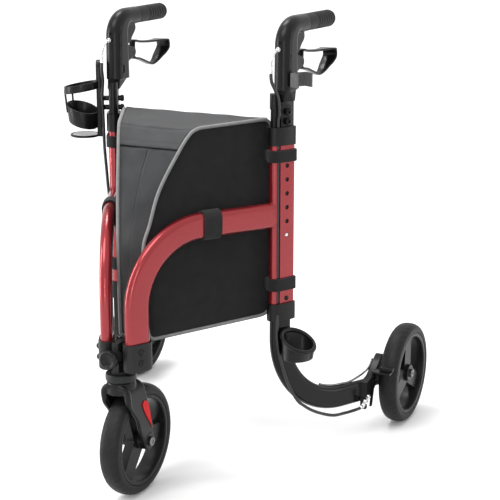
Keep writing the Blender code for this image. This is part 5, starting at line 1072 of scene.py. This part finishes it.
def cable_route(side, count=190):
    groove_s, groove_n = LOBE_S, RAIL_WIDTH / 2 - GROOVE_DEPTH + CABLE_R + 0.0006
    low, front = HOUSING_BEND + 0.001 + PIPE_BEND[-1][1] - GAP, HOUSING_A - HOUSING_DEPTH / 2
    top = [handle_point(side, front + a, b, low + z) for a, b, z in
           ((-0.0325, 0, 0), (-0.0315, 0.001, -0.0137), (-0.024, 0.004, -0.0287))]
    skin = LOBE_R + CABLE_R + 0.0012
    length = RAIL_TOP - RAIL_LOW
    if side > 0:
        rail = [(groove_s - 0.006, skin + 0.002, RAIL_TOP + 0.058), (groove_s - 0.002, skin, RAIL_TOP + 0.044)]
        rail.append((groove_s, groove_n + 0.0034, RAIL_TOP + 0.026))
        rail.append((groove_s, groove_n + 0.0001, RAIL_TOP + 0.013))
        rail += [(groove_s, groove_n, RAIL_TOP - length * share) for share in (0.1, 0.28, 0.52)]
    else:
        rail = [(groove_s + back, out, RAIL_TOP + rise) for back, out, rise in SLACK_CABLE]
    rail += [(groove_s, groove_n, RAIL_TOP - length * share) for share in (0.64, 0.76, 0.91)]
    rail += [(groove_s, groove_n, RAIL_LOW + 0.009), (groove_s, groove_n + 0.0008, RAIL_LOW + 0.0005)]
    rail.append((groove_s - 0.0012, groove_n + 0.0022, RAIL_LOW - 0.0045))
    edge, beside = RAIL_S - 0.0165, LEG_WIDTH / 2 + CABLE_R + 0.0004
    leg = [(edge, beside - 0.0007, LEG_TOP - 0.001), (edge, beside, LEG_TOP - 0.012)]
    for turn, out in LEG_CABLE:
        turn, radius = math.radians(turn), LEG_R + out
        leg.append((RAIL_S + LEG_R - radius * math.cos(turn), beside + (0.0002 if out > 0.02 else 0),
                    LEG_AXIS_Z + LEG_R - radius * math.sin(turn)))
    last = [Vector((side * (BRACKET_IN + x), STOP_Y + y, STOP_Z + z)) for x, y, z in
            ((-0.0035, -0.021, -0.0045), (0.0063, -0.009, -0.0015), (0.007, -2 * GAP, 0))]
    places = [side_point(side, s, n, z) for s, n, z in rail + leg]
    return smooth_route(top + places + last, count)


def nut_ring(points, radius, height, name):
    """A short sleeve or nut round the start of a line of points."""
    along = (points[1] - points[0]).normalized()
    spots = [points[0] + along * height * t for t in (0, 0.08, 0.5, 0.92, 1.0)]
    return cord_mesh(name, spots, radius, 16, lambda t: 0.86 if t in (0.0, 1.0) else 1.0)


class ROLLATOR_OT_cables(bpy.types.Operator):
    """Lays the brake cables, their metal pipes, adjusters, ferrules and stops"""
    bl_idname = "rollator.cables"
    bl_label = "Cables"

    def execute(self, context):
        for side, word in SIDES:
            cable = cord_mesh(f"sheath_{word}", cable_route(side), CABLE_R)
            dress(cable, f"side_{word}", "cable_black", FINISHES["cable sheath"], f"brake_cable_{word}")
            route = pipe_route(side)
            pipe = cord_mesh(f"pipe_{word}", route, PIPE_R * 0.72)
            dress(pipe, f"handle_{word}", "steel", FINISHES["steel"], f"cable_pipe_{word}")
            trims = [nut_ring(route[5:8], 0.0042, 0.0042, "adjuster"),
                     nut_ring(route[9:12], 0.0034, 0.0022, "locknut")]
            ferrule = [route[30].lerp(route[-1], t) for t in (0, 0.1, 0.5, 0.9, 1)]
            trims.append(cord_mesh("ferrule", ferrule, 0.0031, 16))
            dress(joined(f"ferrules_{word}", trims), f"handle_{word}", "steel", FINISHES["steel"])
            end = cable_route(side)[-1]
            back = Vector((0, 1, 0.02)).normalized()
            tail = [end - back * 0.010, end - back * 0.004, end + back * 0.004]
            stop = [cord_mesh("nut", tail, 0.0036, 6)]
            start = end + Vector((side * 0.002, -0.0040, 0.001))
            reach = Vector((side * 0.48, -0.04, 0.87)).normalized()
            for first, last, radius, steps in ADJUSTER:
                ends = [start + reach * (first + (last - first) * t) for t in (0.0, 0.1, 0.5, 0.9, 1.0)]
                stop.append(cord_mesh("adjuster", ends, radius, steps))
            dress(joined(f"stop_nut_{word}", stop), f"side_{word}", "steel", FINISHES["steel"])
        return {"FINISHED"}


# Cup holder, crutch cup and their fittings

def holder_point(side, r, angle, z, tilt, lean):
    """A place on a tilted circle round the holder's axis."""
    u, v = r * math.cos(angle), r * math.sin(angle)
    return side_point(side, HOLDER_S + u, HOLDER_N + v, z + v * math.tan(tilt) + u * math.tan(lean))


def tilted_band(name, side, band, low_radius, height):
    radius, z, tilt, lean = band
    rings, steps = [], 72
    section = rounded_box(height, RING_WALL, 0.0008, 3)
    for j in range(steps):
        ring = []
        for h, w in section:
            r = low_radius + (radius - low_radius) * (h / height + 0.5) - RING_WALL / 2 + w
            ring.append(holder_point(side, r, 2 * math.pi * j / steps, z + h, tilt, lean))
        rings.append(ring)
    return loft(name, rings, loop=True)


class ROLLATOR_OT_holders(bpy.types.Operator):
    """Builds the cup holder on the right handle and the crutch cup on the left leg"""
    bl_idname = "rollator.holders"
    bl_label = "Cup holder and crutch cup"

    def execute(self, context):
        side = -1
        centre = lambda u, n, z: side_point(side, HOLDER_S + u, n, z)
        plate_out = PLATE_N + PLATE_THICK
        outline = [(-PLATE_HALF, HOLDER_LOW), (PLATE_HALF, HOLDER_LOW)]
        outline += arc(0, HOLDER_TOP - PLATE_HALF, PLATE_HALF, 0, 180, 24)
        plate = prism("plate", outline, PLATE_N, plate_out, lambda u, z, n: centre(u, n, z))
        parts = [apply_all(soften(plate, 0.002, 3))]
        parts.append(tilted_band("ring", side, HOLDER_RING, RING_R, RING_HEIGHT))
        parts.append(tilted_band("bucket", side, HOLDER_BUCKET, BUCKET_LOW_R, BUCKET_HEIGHT))
        for (radius, z, tilt, _), height in ((HOLDER_RING, RING_HEIGHT), (HOLDER_BUCKET, BUCKET_HEIGHT * 0.7)):
            middle, half_u, half_z = z - radius * math.tan(tilt), 0.008, height / 2 - 0.001
            reach = (plate_out - 0.002, HOLDER_N - radius + RING_WALL * 0.6)
            box = [(-half_u, middle - half_z), (half_u, middle - half_z),
                   (half_u, middle + half_z), (-half_u, middle + half_z)]
            parts.append(apply_all(soften(prism("arm", box, *reach, lambda u, h, n: centre(u, n, h)), 0.001)))
        for angle in LINK_ANGLES:
            rings = []
            for radius, z, tilt, lean in (HOLDER_BUCKET, HOLDER_RING):
                r = radius - RING_WALL / 2
                u, v = r * math.cos(angle), r * math.sin(angle)
                h = z + v * math.tan(tilt) + u * math.tan(lean)
                rings.append([centre(u + p, HOLDER_N + v + q, h) for p, q in rounded_box(*LINK_SECTION)])
            parts.append(loft("link", rings))
        for z in POST_SCREW_ZS:
            barrel = lambda u, v, h, z=z: centre(u, h, z + v)
            ends = [(POST_SCREW_R, 0.0093), (POST_SCREW_R, PLATE_N + 0.002)]
            parts.append(turned("barrel", ends, 24, barrel))
        holder = joined("drink_holder", parts)
        dress(holder, "handle_right", "black_plastic", FINISHES["black plastic"], "cup_holder")
        for z in POST_SCREW_ZS:
            inner = side_point(side, HOLDER_S, 0, z) - side_point(side, HOLDER_S, 1, z)
            nut = joined(f"post_nut_{round(z * 1000)}", [
                socket_screw(side_point(side, HOLDER_S, -0.0128, z), inner, 0.0062, 0.0060)], 30)
            dress(nut, "handle_right", "black_metal", FINISHES["black tube"])
        self.tray(lambda u, v, h: centre(u, TRAY_N + v, h))
        self.crutch_cup()
        return {"FINISHED"}

    def tray(self, place):
        """The black tray under the bucket and the grey disc that lies in it."""
        disc_r, disc_low, disc_top = TRAY_R - 0.0045, TRAY_TOP - 0.0020, TRAY_TOP - 0.0004
        profile = [(0.0005, disc_top), (disc_r, disc_top), (disc_r, disc_low), (0.0005, disc_low)]
        dress(turned("tray_disc", profile, 64, place), "handle_right", "black_plastic", FINISHES["tray grey"])
        floor = TRAY_TOP - 0.0025
        profile = [(TRAY_R * 0.86, TRAY_LOW), (TRAY_R - 0.0006, TRAY_LOW + 0.001), (TRAY_R, TRAY_LOW + 0.002),
                   (TRAY_R, TRAY_TOP - 0.0008), (TRAY_R - 0.0008, TRAY_TOP), (TRAY_R - 0.0035, TRAY_TOP),
                   (TRAY_R - 0.004, floor), (0.002, floor)]
        tray = turned("holder_tray", profile, 64, place)
        dress(tray, "handle_right", "black_plastic", FINISHES["black plastic"])

    def crutch_cup(self):
        """The tapered oval cup on the left leg, with its leaning rim, thick lip and mount."""
        def ring(grow, height, slanted=True):
            places, steps = [], 72
            for j in range(steps):
                t = 2 * math.pi * j / steps
                u, v = (CUP_A + grow) * math.cos(t), (CUP_B + grow) * math.sin(t)
                z = height - CUP_SLOPE * v - CUP_LEAN * u + 0.0015 if slanted else height
                places.append(side_point(1, CUP_S + u, CUP_N + v, z))
            return places

        rings = [ring(-0.0045, CUP_LOW, False), ring(-0.0035, CUP_LOW + 0.001, False),
                 ring(-0.0008, CUP_RIM - 0.007)]
        for t in (math.radians(angle) for angle in range(-60, 241, 30)):
            grow = -CUP_WALL / 2 + (CUP_WALL / 2 + CUP_LIP * 0.9) * math.cos(t)
            rings.append(ring(grow, CUP_RIM - 0.0025 + 0.0028 * math.sin(t)))
        rings += [ring(-CUP_WALL - 0.0008, CUP_RIM - 0.007), ring(-CUP_WALL - 0.0035, CUP_LOW + 0.004, False),
                  ring(-CUP_WALL - 0.0045, CUP_LOW + 0.003, False)]
        cup = loft("cup", rings, sharp=50)
        place = lambda u, z, n: side_point(1, u, n, z)
        wall = CUP_N - CUP_B
        front, back, low, high = RAIL_S - 0.004, RAIL_S + 0.020, CUP_LOW + 0.004, CUP_LOW + 0.049
        box = [(front, low), (back, low), (back, high), (front, high)]
        mount = apply_all(soften(prism("mount", box, LEG_WIDTH / 2 + GAP, wall + CUP_WALL * 0.6, place), 0.001))
        cup = joined("tip_cup", [cup, mount], 45)
        dress(cup, "side_left", "black_plastic", FINISHES["black plastic"], "crutch_cup")


# Bolts and screws

def socket_screw(origin, out, radius, height, hexagon=0.42):
    """A domed screw head with a six-sided socket, on origin and facing out."""
    out = out.normalized()
    u = out.orthogonal().normalized()
    v = out.cross(u)
    steps = 24

    def ring(r, h, six=False):
        spots = []
        for j in range(steps):
            t = 2 * math.pi * j / steps
            size = r / math.cos((t % (math.pi / 3)) - math.pi / 6) * 0.93 if six else r
            spots.append(origin + (u * math.cos(t) + v * math.sin(t)) * size + out * h)
        return spots

    rings = [ring(radius, -0.0004), ring(radius, height * 0.35), ring(radius * 0.9, height * 0.75),
             ring(radius * 0.7, height), ring(radius * (hexagon + 0.06), height, True),
             ring(radius * hexagon, height * 0.9, True), ring(radius * hexagon * 0.96, height * 0.1, True)]
    return loft("screw", rings)


class ROLLATOR_OT_screws(bpy.types.Operator):
    """Sets the screw heads, washers and the thin stays on the legs"""
    bl_idname = "rollator.screws"
    bl_label = "Screws and stays"

    def execute(self, context):
        heads = [(origin, self.outward(1), 0.0060, 0.0030)
                 for origin in (side_point(1, RAIL_S + HOLE_U, POST_SCREW_OUT, z) for z in POST_SCREW_ZS)]
        self.set_screws("post_screws_left", heads, "handle_left", "black_metal", "black tube")
        for side, word in SIDES:
            self.socket_domes(side, word)
            rear = (Vector((side * (REAR_X + 0.0191), REAR_Y, WHEEL_R)), Vector((side, 0, 0)), 0.0080, 0.0014)
            self.set_screws(f"axle_socket_{word}", [rear], f"side_{word}", "steel", "dark steel")
            front = (Vector((side * 0.0329, FRONT_Y, WHEEL_R)), Vector((side, 0, 0)), 0.0080, 0.0012)
            self.set_screws(f"front_axle_socket_{word}", [front], "caster", "steel", "dark steel")
            self.stay(side, word)
        return {"FINISHED"}

    def outward(self, side):
        return side_point(side, 0, 1, 0) - side_point(side, 0, 0, 0)

    def set_screws(self, name, screws, body, slot, finish_name):
        heads = [socket_screw(*screw) for screw in screws]
        dress(joined(name, heads, 30), body, slot, FINISHES[finish_name])

    def socket_domes(self, side, word):
        """The two domed screws of the tube socket, each on its washer."""
        dome = [(0.0064, -0.0004), (0.0064, 0.0004), (0.0058, 0.0008)]
        dome += [(0.0048 * math.cos(t), 0.0008 + 0.0034 * math.sin(t))
                 for t in (0.0, 0.35, 0.7, 1.05, 1.4, 1.55)]
        domes = [turned("dome", dome, 28, lambda u, v, h, z=z: side_point(side, u, SOCKET_SCREW_OUT + h, z + v))
                 for z in SOCKET_SCREW_ZS]
        dress(joined(f"socket_screws_{word}", domes, 30), f"side_{word}", "black_metal", FINISHES["black tube"])

    def stay(self, side, word):
        """The thin rod that lies in the leg's bend and rises to the brake's bracket."""
        above = LEG_DEPTH / 2 + 0.0014
        radius, bracket_x = LEG_R - above, side * (BRACKET_IN - 0.002)
        route = [side_point(side, RAIL_S + LEG_R - radius * math.sin(t), STAY_N,
                            LEG_AXIS_Z + LEG_R - radius * math.cos(t))
                 for t in (0.42, 0.36, 0.30, 0.24, 0.18, 0.12, 0.06, 0.0)]
        route.append(side_point(side, LEG_END - 0.010, STAY_N, LEG_AXIS_Z + above))
        route += [Vector((bracket_x, REAR_Y - 0.098, 0.130)), Vector((bracket_x, REAR_Y - 0.070, 0.144))]
        rod = cord_mesh(f"stay_{word}", smooth_route(route, 60), STAY_R, 12)
        dress(rod, f"side_{word}", "steel", FINISHES["dark steel"])


# Bag

def bag_outline(steps=220):
    """The side panel's edge as evenly spread (s, z), with round corners, from the lower front corner up."""
    front = smooth_route([Vector(point) for point in BAG_FRONT], 140)
    points = front[4:]
    first, last_front = Vector(BAG_FRONT[0]), Vector(BAG_FRONT[-1])
    top_corner, low_corner = Vector((BAG_BACK, BAG_TOP_BACK)), Vector((BAG_BACK, BAG_LOW))
    for corner, before, after, radius in ((top_corner, last_front, low_corner, BAG_CORNER_TOP),
                                          (low_corner, top_corner, first, BAG_CORNER_LOW),
                                          (first, low_corner, front[6], BAG_CORNER_FRONT)):
        start = corner + (before - corner).normalized() * radius
        end = corner + (after - corner).normalized() * radius
        last = points[-1]
        count = max(int((start - last).length / 0.005), 1)
        points += [last.lerp(start, (i + 1) / count) for i in range(count)]
        points += [start.lerp(corner, t).lerp(corner.lerp(end, t), t) for t in (0.2, 0.4, 0.6, 0.8, 1.0)]
    lengths = [0.0]
    loop = points + [points[0]]
    for a, b in zip(loop, loop[1:]):
        lengths.append(lengths[-1] + (b - a).length)
    spread, k = [], 0
    for i in range(steps):
        want = lengths[-1] * i / steps
        while lengths[k + 1] < want:
            k += 1
        t = (want - lengths[k]) / max(lengths[k + 1] - lengths[k], 1e-9)
        spread.append(loop[k].lerp(loop[k + 1], t))
    return spread


def crease(point, size, depth):
    """A soft uneven fold height at a place."""
    return depth * noise.noise(point / size)


def side_panel(side, word):
    """A crowned cloth panel with a pulled-in edge and faint folds."""
    outline = bag_outline()
    middle = Vector(BAG_MIDDLE)
    crown, thick = sizes().panel_crown, 0.003
    shares = [0.0, 0.12, 0.25, 0.4, 0.55, 0.68, 0.78, 0.86, 0.92, 0.96, 0.985, 1.0]
    points, faces, count = [], [], len(outline)

    def spot(edge, t, outer):
        flat = middle.lerp(edge, t)
        swell = crown * (1 - t ** 5) - 0.0012 * smoothstep((t - 0.90) / 0.07)
        fold = crease(Vector((flat.x, side * 3.0, flat.y)), 0.07, 0.0012)
        fold += crease(Vector((flat.x, 7.0, flat.y)), 0.022, 0.0003)
        n = BAG_N + (swell + fold * (1 - t ** 4) if outer else -thick + (0.001 if t == 1.0 else 0.0))
        return side_point(side, flat.x, n, flat.y)

    for outer in (True, False):
        first = len(points)
        points.append(spot(outline[0], 0.0, outer))
        for t in shares[1:]:
            points += [spot(edge, t, outer) for edge in outline]
        for j in range(count):
            k = (j + 1) % count
            faces.append((first, first + 1 + j, first + 1 + k))
            for i in range(len(shares) - 2):
                low, high = first + 1 + i * count, first + 1 + (i + 1) * count
                faces.append((low + j, high + j, high + k, low + k))
    size = len(points) // 2
    for j in range(count):
        k = (j + 1) % count
        a, b = size - count, 2 * size - count
        faces.append((a + j, a + k, b + k, b + j))
    return mesh_object(f"bag_side_{word}", points, faces, 60)


def bag_outward(rows, i):
    """The direction out of the bag at one place of a line of (s, z)."""
    along = (rows[min(i + 1, len(rows) - 1)] - rows[max(i - 1, 0)]).normalized()
    out = Vector((-along.y, along.x))
    return -out if out.dot(rows[i] - Vector(BAG_MIDDLE)) < 0 else out


def cloth_shell(name, points, rows, across, thickness):
    """A sheet of cloth with its thickness, from points that lie row by row."""
    sheet = mesh_object(name, points, sheet_faces(rows, across), 60)
    shell = sheet.modifiers.new("Cloth", "SOLIDIFY")
    shell.thickness, shell.offset = thickness, -1.0
    return apply_all(sheet)


def gusset_half(side, word, rows, across=18):
    """Half of the strip between the side panels, from the middle to one side, with cloth sag and folds."""
    sag = sizes().front_sag
    points = []
    for i, edge in enumerate(rows):
        out = bag_outward(rows, i)
        rim = side_point(1, edge.x, BAG_N - 0.0022, edge.y)
        slack = smoothstep(min(i, len(rows) - 1 - i) / 14) * (0.45 + 0.55 * smoothstep((0.62 - edge.y) / 0.15))
        for j in range(across + 1):
            share = j / across
            x = rim.x * share
            swell = sag * (1 - share ** 2) * slack
            fold = crease(Vector((side * x * 1.4, edge.x, edge.y * 0.8)), 0.035, 0.0016) * (1 - share ** 3)
            normal = Vector((0, out.x * math.cos(SIDE_ANGLE), out.y)).normalized()
            tucked = 0.006 * smoothstep((edge.y - LID_END + 0.003) / 0.005)
            point = Vector((x, rim.y, edge.y)) + normal * (swell * 0.8 + fold - 0.0012 - tucked)
            points.append(Vector((side * point.x, point.y, point.z)))
    return cloth_shell(f"bag_strip_{word}", points, len(rows), across, sizes().cloth)


def lid_rows():
    """The lid's line in (s, z), from its hinge over the top and down the front."""
    line = [Vector((BAG_BACK - LID_HINGE_GAP, BAG_TOP_BACK)), Vector((0.215, 0.6485))]
    line += [Vector(point) for point in BAG_FRONT[::-1][:5]]
    return [place for place in smooth_route(line, 90) if place.y > LID_END]


def build_lid():
    """The lid: a cloth sheet over the top and front edge, hemmed, with a double seam near its front edge."""
    rows, across = lid_rows(), 40
    points = []
    for i, (s, z) in enumerate(rows):
        out = bag_outward(rows, i)
        rim = side_point(1, s, BAG_N - 0.0015, z)
        seam = sum(math.exp(-((z - LID_END - above) / SEAM_HALF) ** 2) for above in SEAM_ABOVE_END)
        for j in range(across + 1):
            share = 2 * j / across - 1
            x = (rim.x - 0.003) * share
            sag = LID_SAG * (1 - share ** 2) * smoothstep(i / 10) * smoothstep((z - LID_END) / 0.03)
            hem = 0.0006 * smoothstep((abs(share) - 0.90) / 0.03)
            fold = crease(Vector((x * 1.2, s * 1.2, z)), 0.05, 0.0014) * (1 - share ** 4)
            lift = fold - sag + hem - SEAM_DEPTH * seam + 0.0006
            points.append(Vector((x, rim.y + out.x * math.cos(SIDE_ANGLE) * lift, z + out.y * lift)))
    return cloth_shell("bag_flap", points, len(rows), across, sizes().cloth * 1.3)


class ROLLATOR_OT_bag(bpy.types.Operator):
    """Sews the bag: side panels with piping, the strip between them and the lid"""
    bl_idname = "rollator.bag"
    bl_label = "Bag"

    def execute(self, context):
        outline = bag_outline()
        under_lid = next(i for i, p in enumerate(outline) if p.y > 0.634)
        top_back = max(range(len(outline)), key=lambda i: outline[i].x * 2 + outline[i].y)
        rows = outline[top_back:] + outline[:under_lid + 1]
        for side, word in SIDES:
            dress(side_panel(side, word), f"side_{word}", "bag_black", FINISHES["bag side cloth"])
            sewn = lambda p: BAG_N - 0.0006 - 0.003 * smoothstep((p.x - BAG_BACK + 0.003) / 0.003)
            cord = [side_point(side, p.x, sewn(p), p.y) for p in outline]
            piping = closed_cord(f"bag_piping_{word}", cord, sizes().piping, 10)
            dress(piping, f"side_{word}", "bag_grey", FINISHES["piping"])
            strip = gusset_half(side, word, rows)
            # The strip's cloth is painted lighter as if lit from the front.
            strip.data.materials.append(FINISHES["bag front cloth painted lit"])
            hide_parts("bag_body")
            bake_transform(strip)
        # The lid's cloth is painted lighter as if lit from above.
        lid = dress(build_lid(), "lid", "bag_grey", FINISHES["bag lid cloth painted lit"], "bag_lid")
        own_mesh(lid)
        return {"FINISHED"}


# Stage

def background_rays(tree):
    """1 for the rays that see the background: from the camera, in a gloss or through a clear piece."""
    path = tree.nodes.new("ShaderNodeLightPath")
    wide = path.outputs["Is Camera Ray"]
    for name in ("Is Glossy Ray", "Is Transmission Ray"):
        larger = tree.nodes.new("ShaderNodeMath")
        larger.operation = "MAXIMUM"
        tree.links.new(wide, larger.inputs[0])
        tree.links.new(path.outputs[name], larger.inputs[1])
        wide = larger.outputs[0]
    return wide


class ROLLATOR_OT_stage(bpy.types.Operator):
    """Sets the pale floor, the soft studio light and the camera"""
    bl_idname = "rollator.stage"
    bl_label = "Stage"

    def execute(self, context):
        scene = context.scene
        self.floor()
        self.world(scene)
        sun = bpy.data.lights.new("key", "SUN")
        sun.energy, sun.angle = SUN_STRENGTH, SUN_ANGLE
        lamps = [(sun, SUN_PLACE)]
        for name, place, width, height, power in LAMPS:
            data = bpy.data.lights.new(name, "AREA")
            data.shape, data.size, data.size_y, data.energy = "RECTANGLE", width, height, power
            lamps.append((data, place))
        for data, place in lamps:
            lamp = bpy.data.objects.new(data.name, data)
            lamp.location = place
            lamp.rotation_euler = (LAMP_AIM - Vector(place)).to_track_quat("-Z", "Y").to_euler()
            scene.collection.objects.link(lamp)
        level = math.cos(CAMERA_ELEVATION)
        back = Vector((math.sin(CAMERA_AZIMUTH) * level, -math.cos(CAMERA_AZIMUTH) * level,
                       math.sin(CAMERA_ELEVATION)))
        lens = bpy.data.cameras.new("camera")
        lens.lens, lens.sensor_width = CAMERA_LENS, CAMERA_SENSOR
        camera = bpy.data.objects.new("camera", lens)
        camera.location = CAMERA_PLACE
        camera.rotation_euler = (-back).to_track_quat("-Z", "Y").to_euler()
        scene.collection.objects.link(camera)
        scene.camera = camera
        scene.view_settings.view_transform = "Standard"
        return {"FINISHED"}

    def floor(self):
        spots = [FLOOR_REACH * (2 * i / FLOOR_STEPS - 1) for i in range(FLOOR_STEPS + 1)]
        points = [Vector((x, y, 0.0)) for y in spots for x in spots]
        obj = mesh_object("studio_floor", points, sheet_faces(FLOOR_STEPS + 1, FLOOR_STEPS))
        material = bpy.data.materials.new("pale floor")
        material.use_nodes = True
        tree = material.node_tree
        shader = tree.nodes["Principled BSDF"]
        seen = node_mix(tree, node_noise(tree, 0.6), (0.985, 0.985, 0.985), (1.0, 1.0, 1.0))
        tree.links.new(node_mix(tree, background_rays(tree), FLOOR_GREY, seen), shader.inputs["Base Color"])
        shader.inputs["Roughness"].default_value = 0.9
        shader.inputs["Specular IOR Level"].default_value = 0.0
        obj.data.materials.append(material)

    def world(self, scene):
        world = bpy.data.worlds.new("studio")
        scene.world = world
        world.use_nodes = True
        tree = world.node_tree
        shine = tree.nodes["Background"]
        place, height = tree.nodes.new("ShaderNodeTexCoord"), tree.nodes.new("ShaderNodeSeparateXYZ")
        tree.links.new(place.outputs["Generated"], height.inputs[0])
        sky = node_mix(tree, node_range(tree, height.outputs["Z"], 0.0, 1.0, 0.0, 1.0), SKY_LOW, SKY_HIGH)
        plain = node_mix(tree, background_rays(tree), sky, (1.0, 1.0, 1.0))
        tree.links.new(plain, shine.inputs["Color"])


class ROLLATOR_PT_panel(bpy.types.Panel):
    """Lists the sizes, the colours and the steps that build the rollator"""
    bl_idname = "ROLLATOR_PT_panel"
    bl_label = "Rollator"
    bl_space_type = "VIEW_3D"
    bl_region_type = "UI"
    bl_category = "Rollator"

    def draw(self, context):
        layout = self.layout
        for group in (context.scene.rollator_sizes, context.scene.rollator_colours):
            column = layout.column(align=True)
            for name in group.__annotations__:
                column.prop(group, name)
        for step in STEPS:
            layout.operator(step.bl_idname)


STEPS = (ROLLATOR_OT_finishes, ROLLATOR_OT_frame_tubes, ROLLATOR_OT_uprights, ROLLATOR_OT_legs,
         ROLLATOR_OT_wheels, ROLLATOR_OT_fork, ROLLATOR_OT_knob, ROLLATOR_OT_handles, ROLLATOR_OT_cables,
         ROLLATOR_OT_holders, ROLLATOR_OT_screws, ROLLATOR_OT_bag, ROLLATOR_OT_stage)
CLASSES = (RollatorSizes, RollatorColours) + STEPS + (ROLLATOR_PT_panel,)


def register():
    for item in CLASSES:
        bpy.utils.register_class(item)
    bpy.types.Scene.rollator_sizes = PointerProperty(type=RollatorSizes)
    bpy.types.Scene.rollator_colours = PointerProperty(type=RollatorColours)


def unregister():
    del bpy.types.Scene.rollator_colours
    del bpy.types.Scene.rollator_sizes
    for item in reversed(CLASSES):
        bpy.utils.unregister_class(item)


def main():
    register()
    for step in STEPS:
        group, name = step.bl_idname.split(".")
        getattr(getattr(bpy.ops, group), name)()


if __name__ == "__main__":
    main()
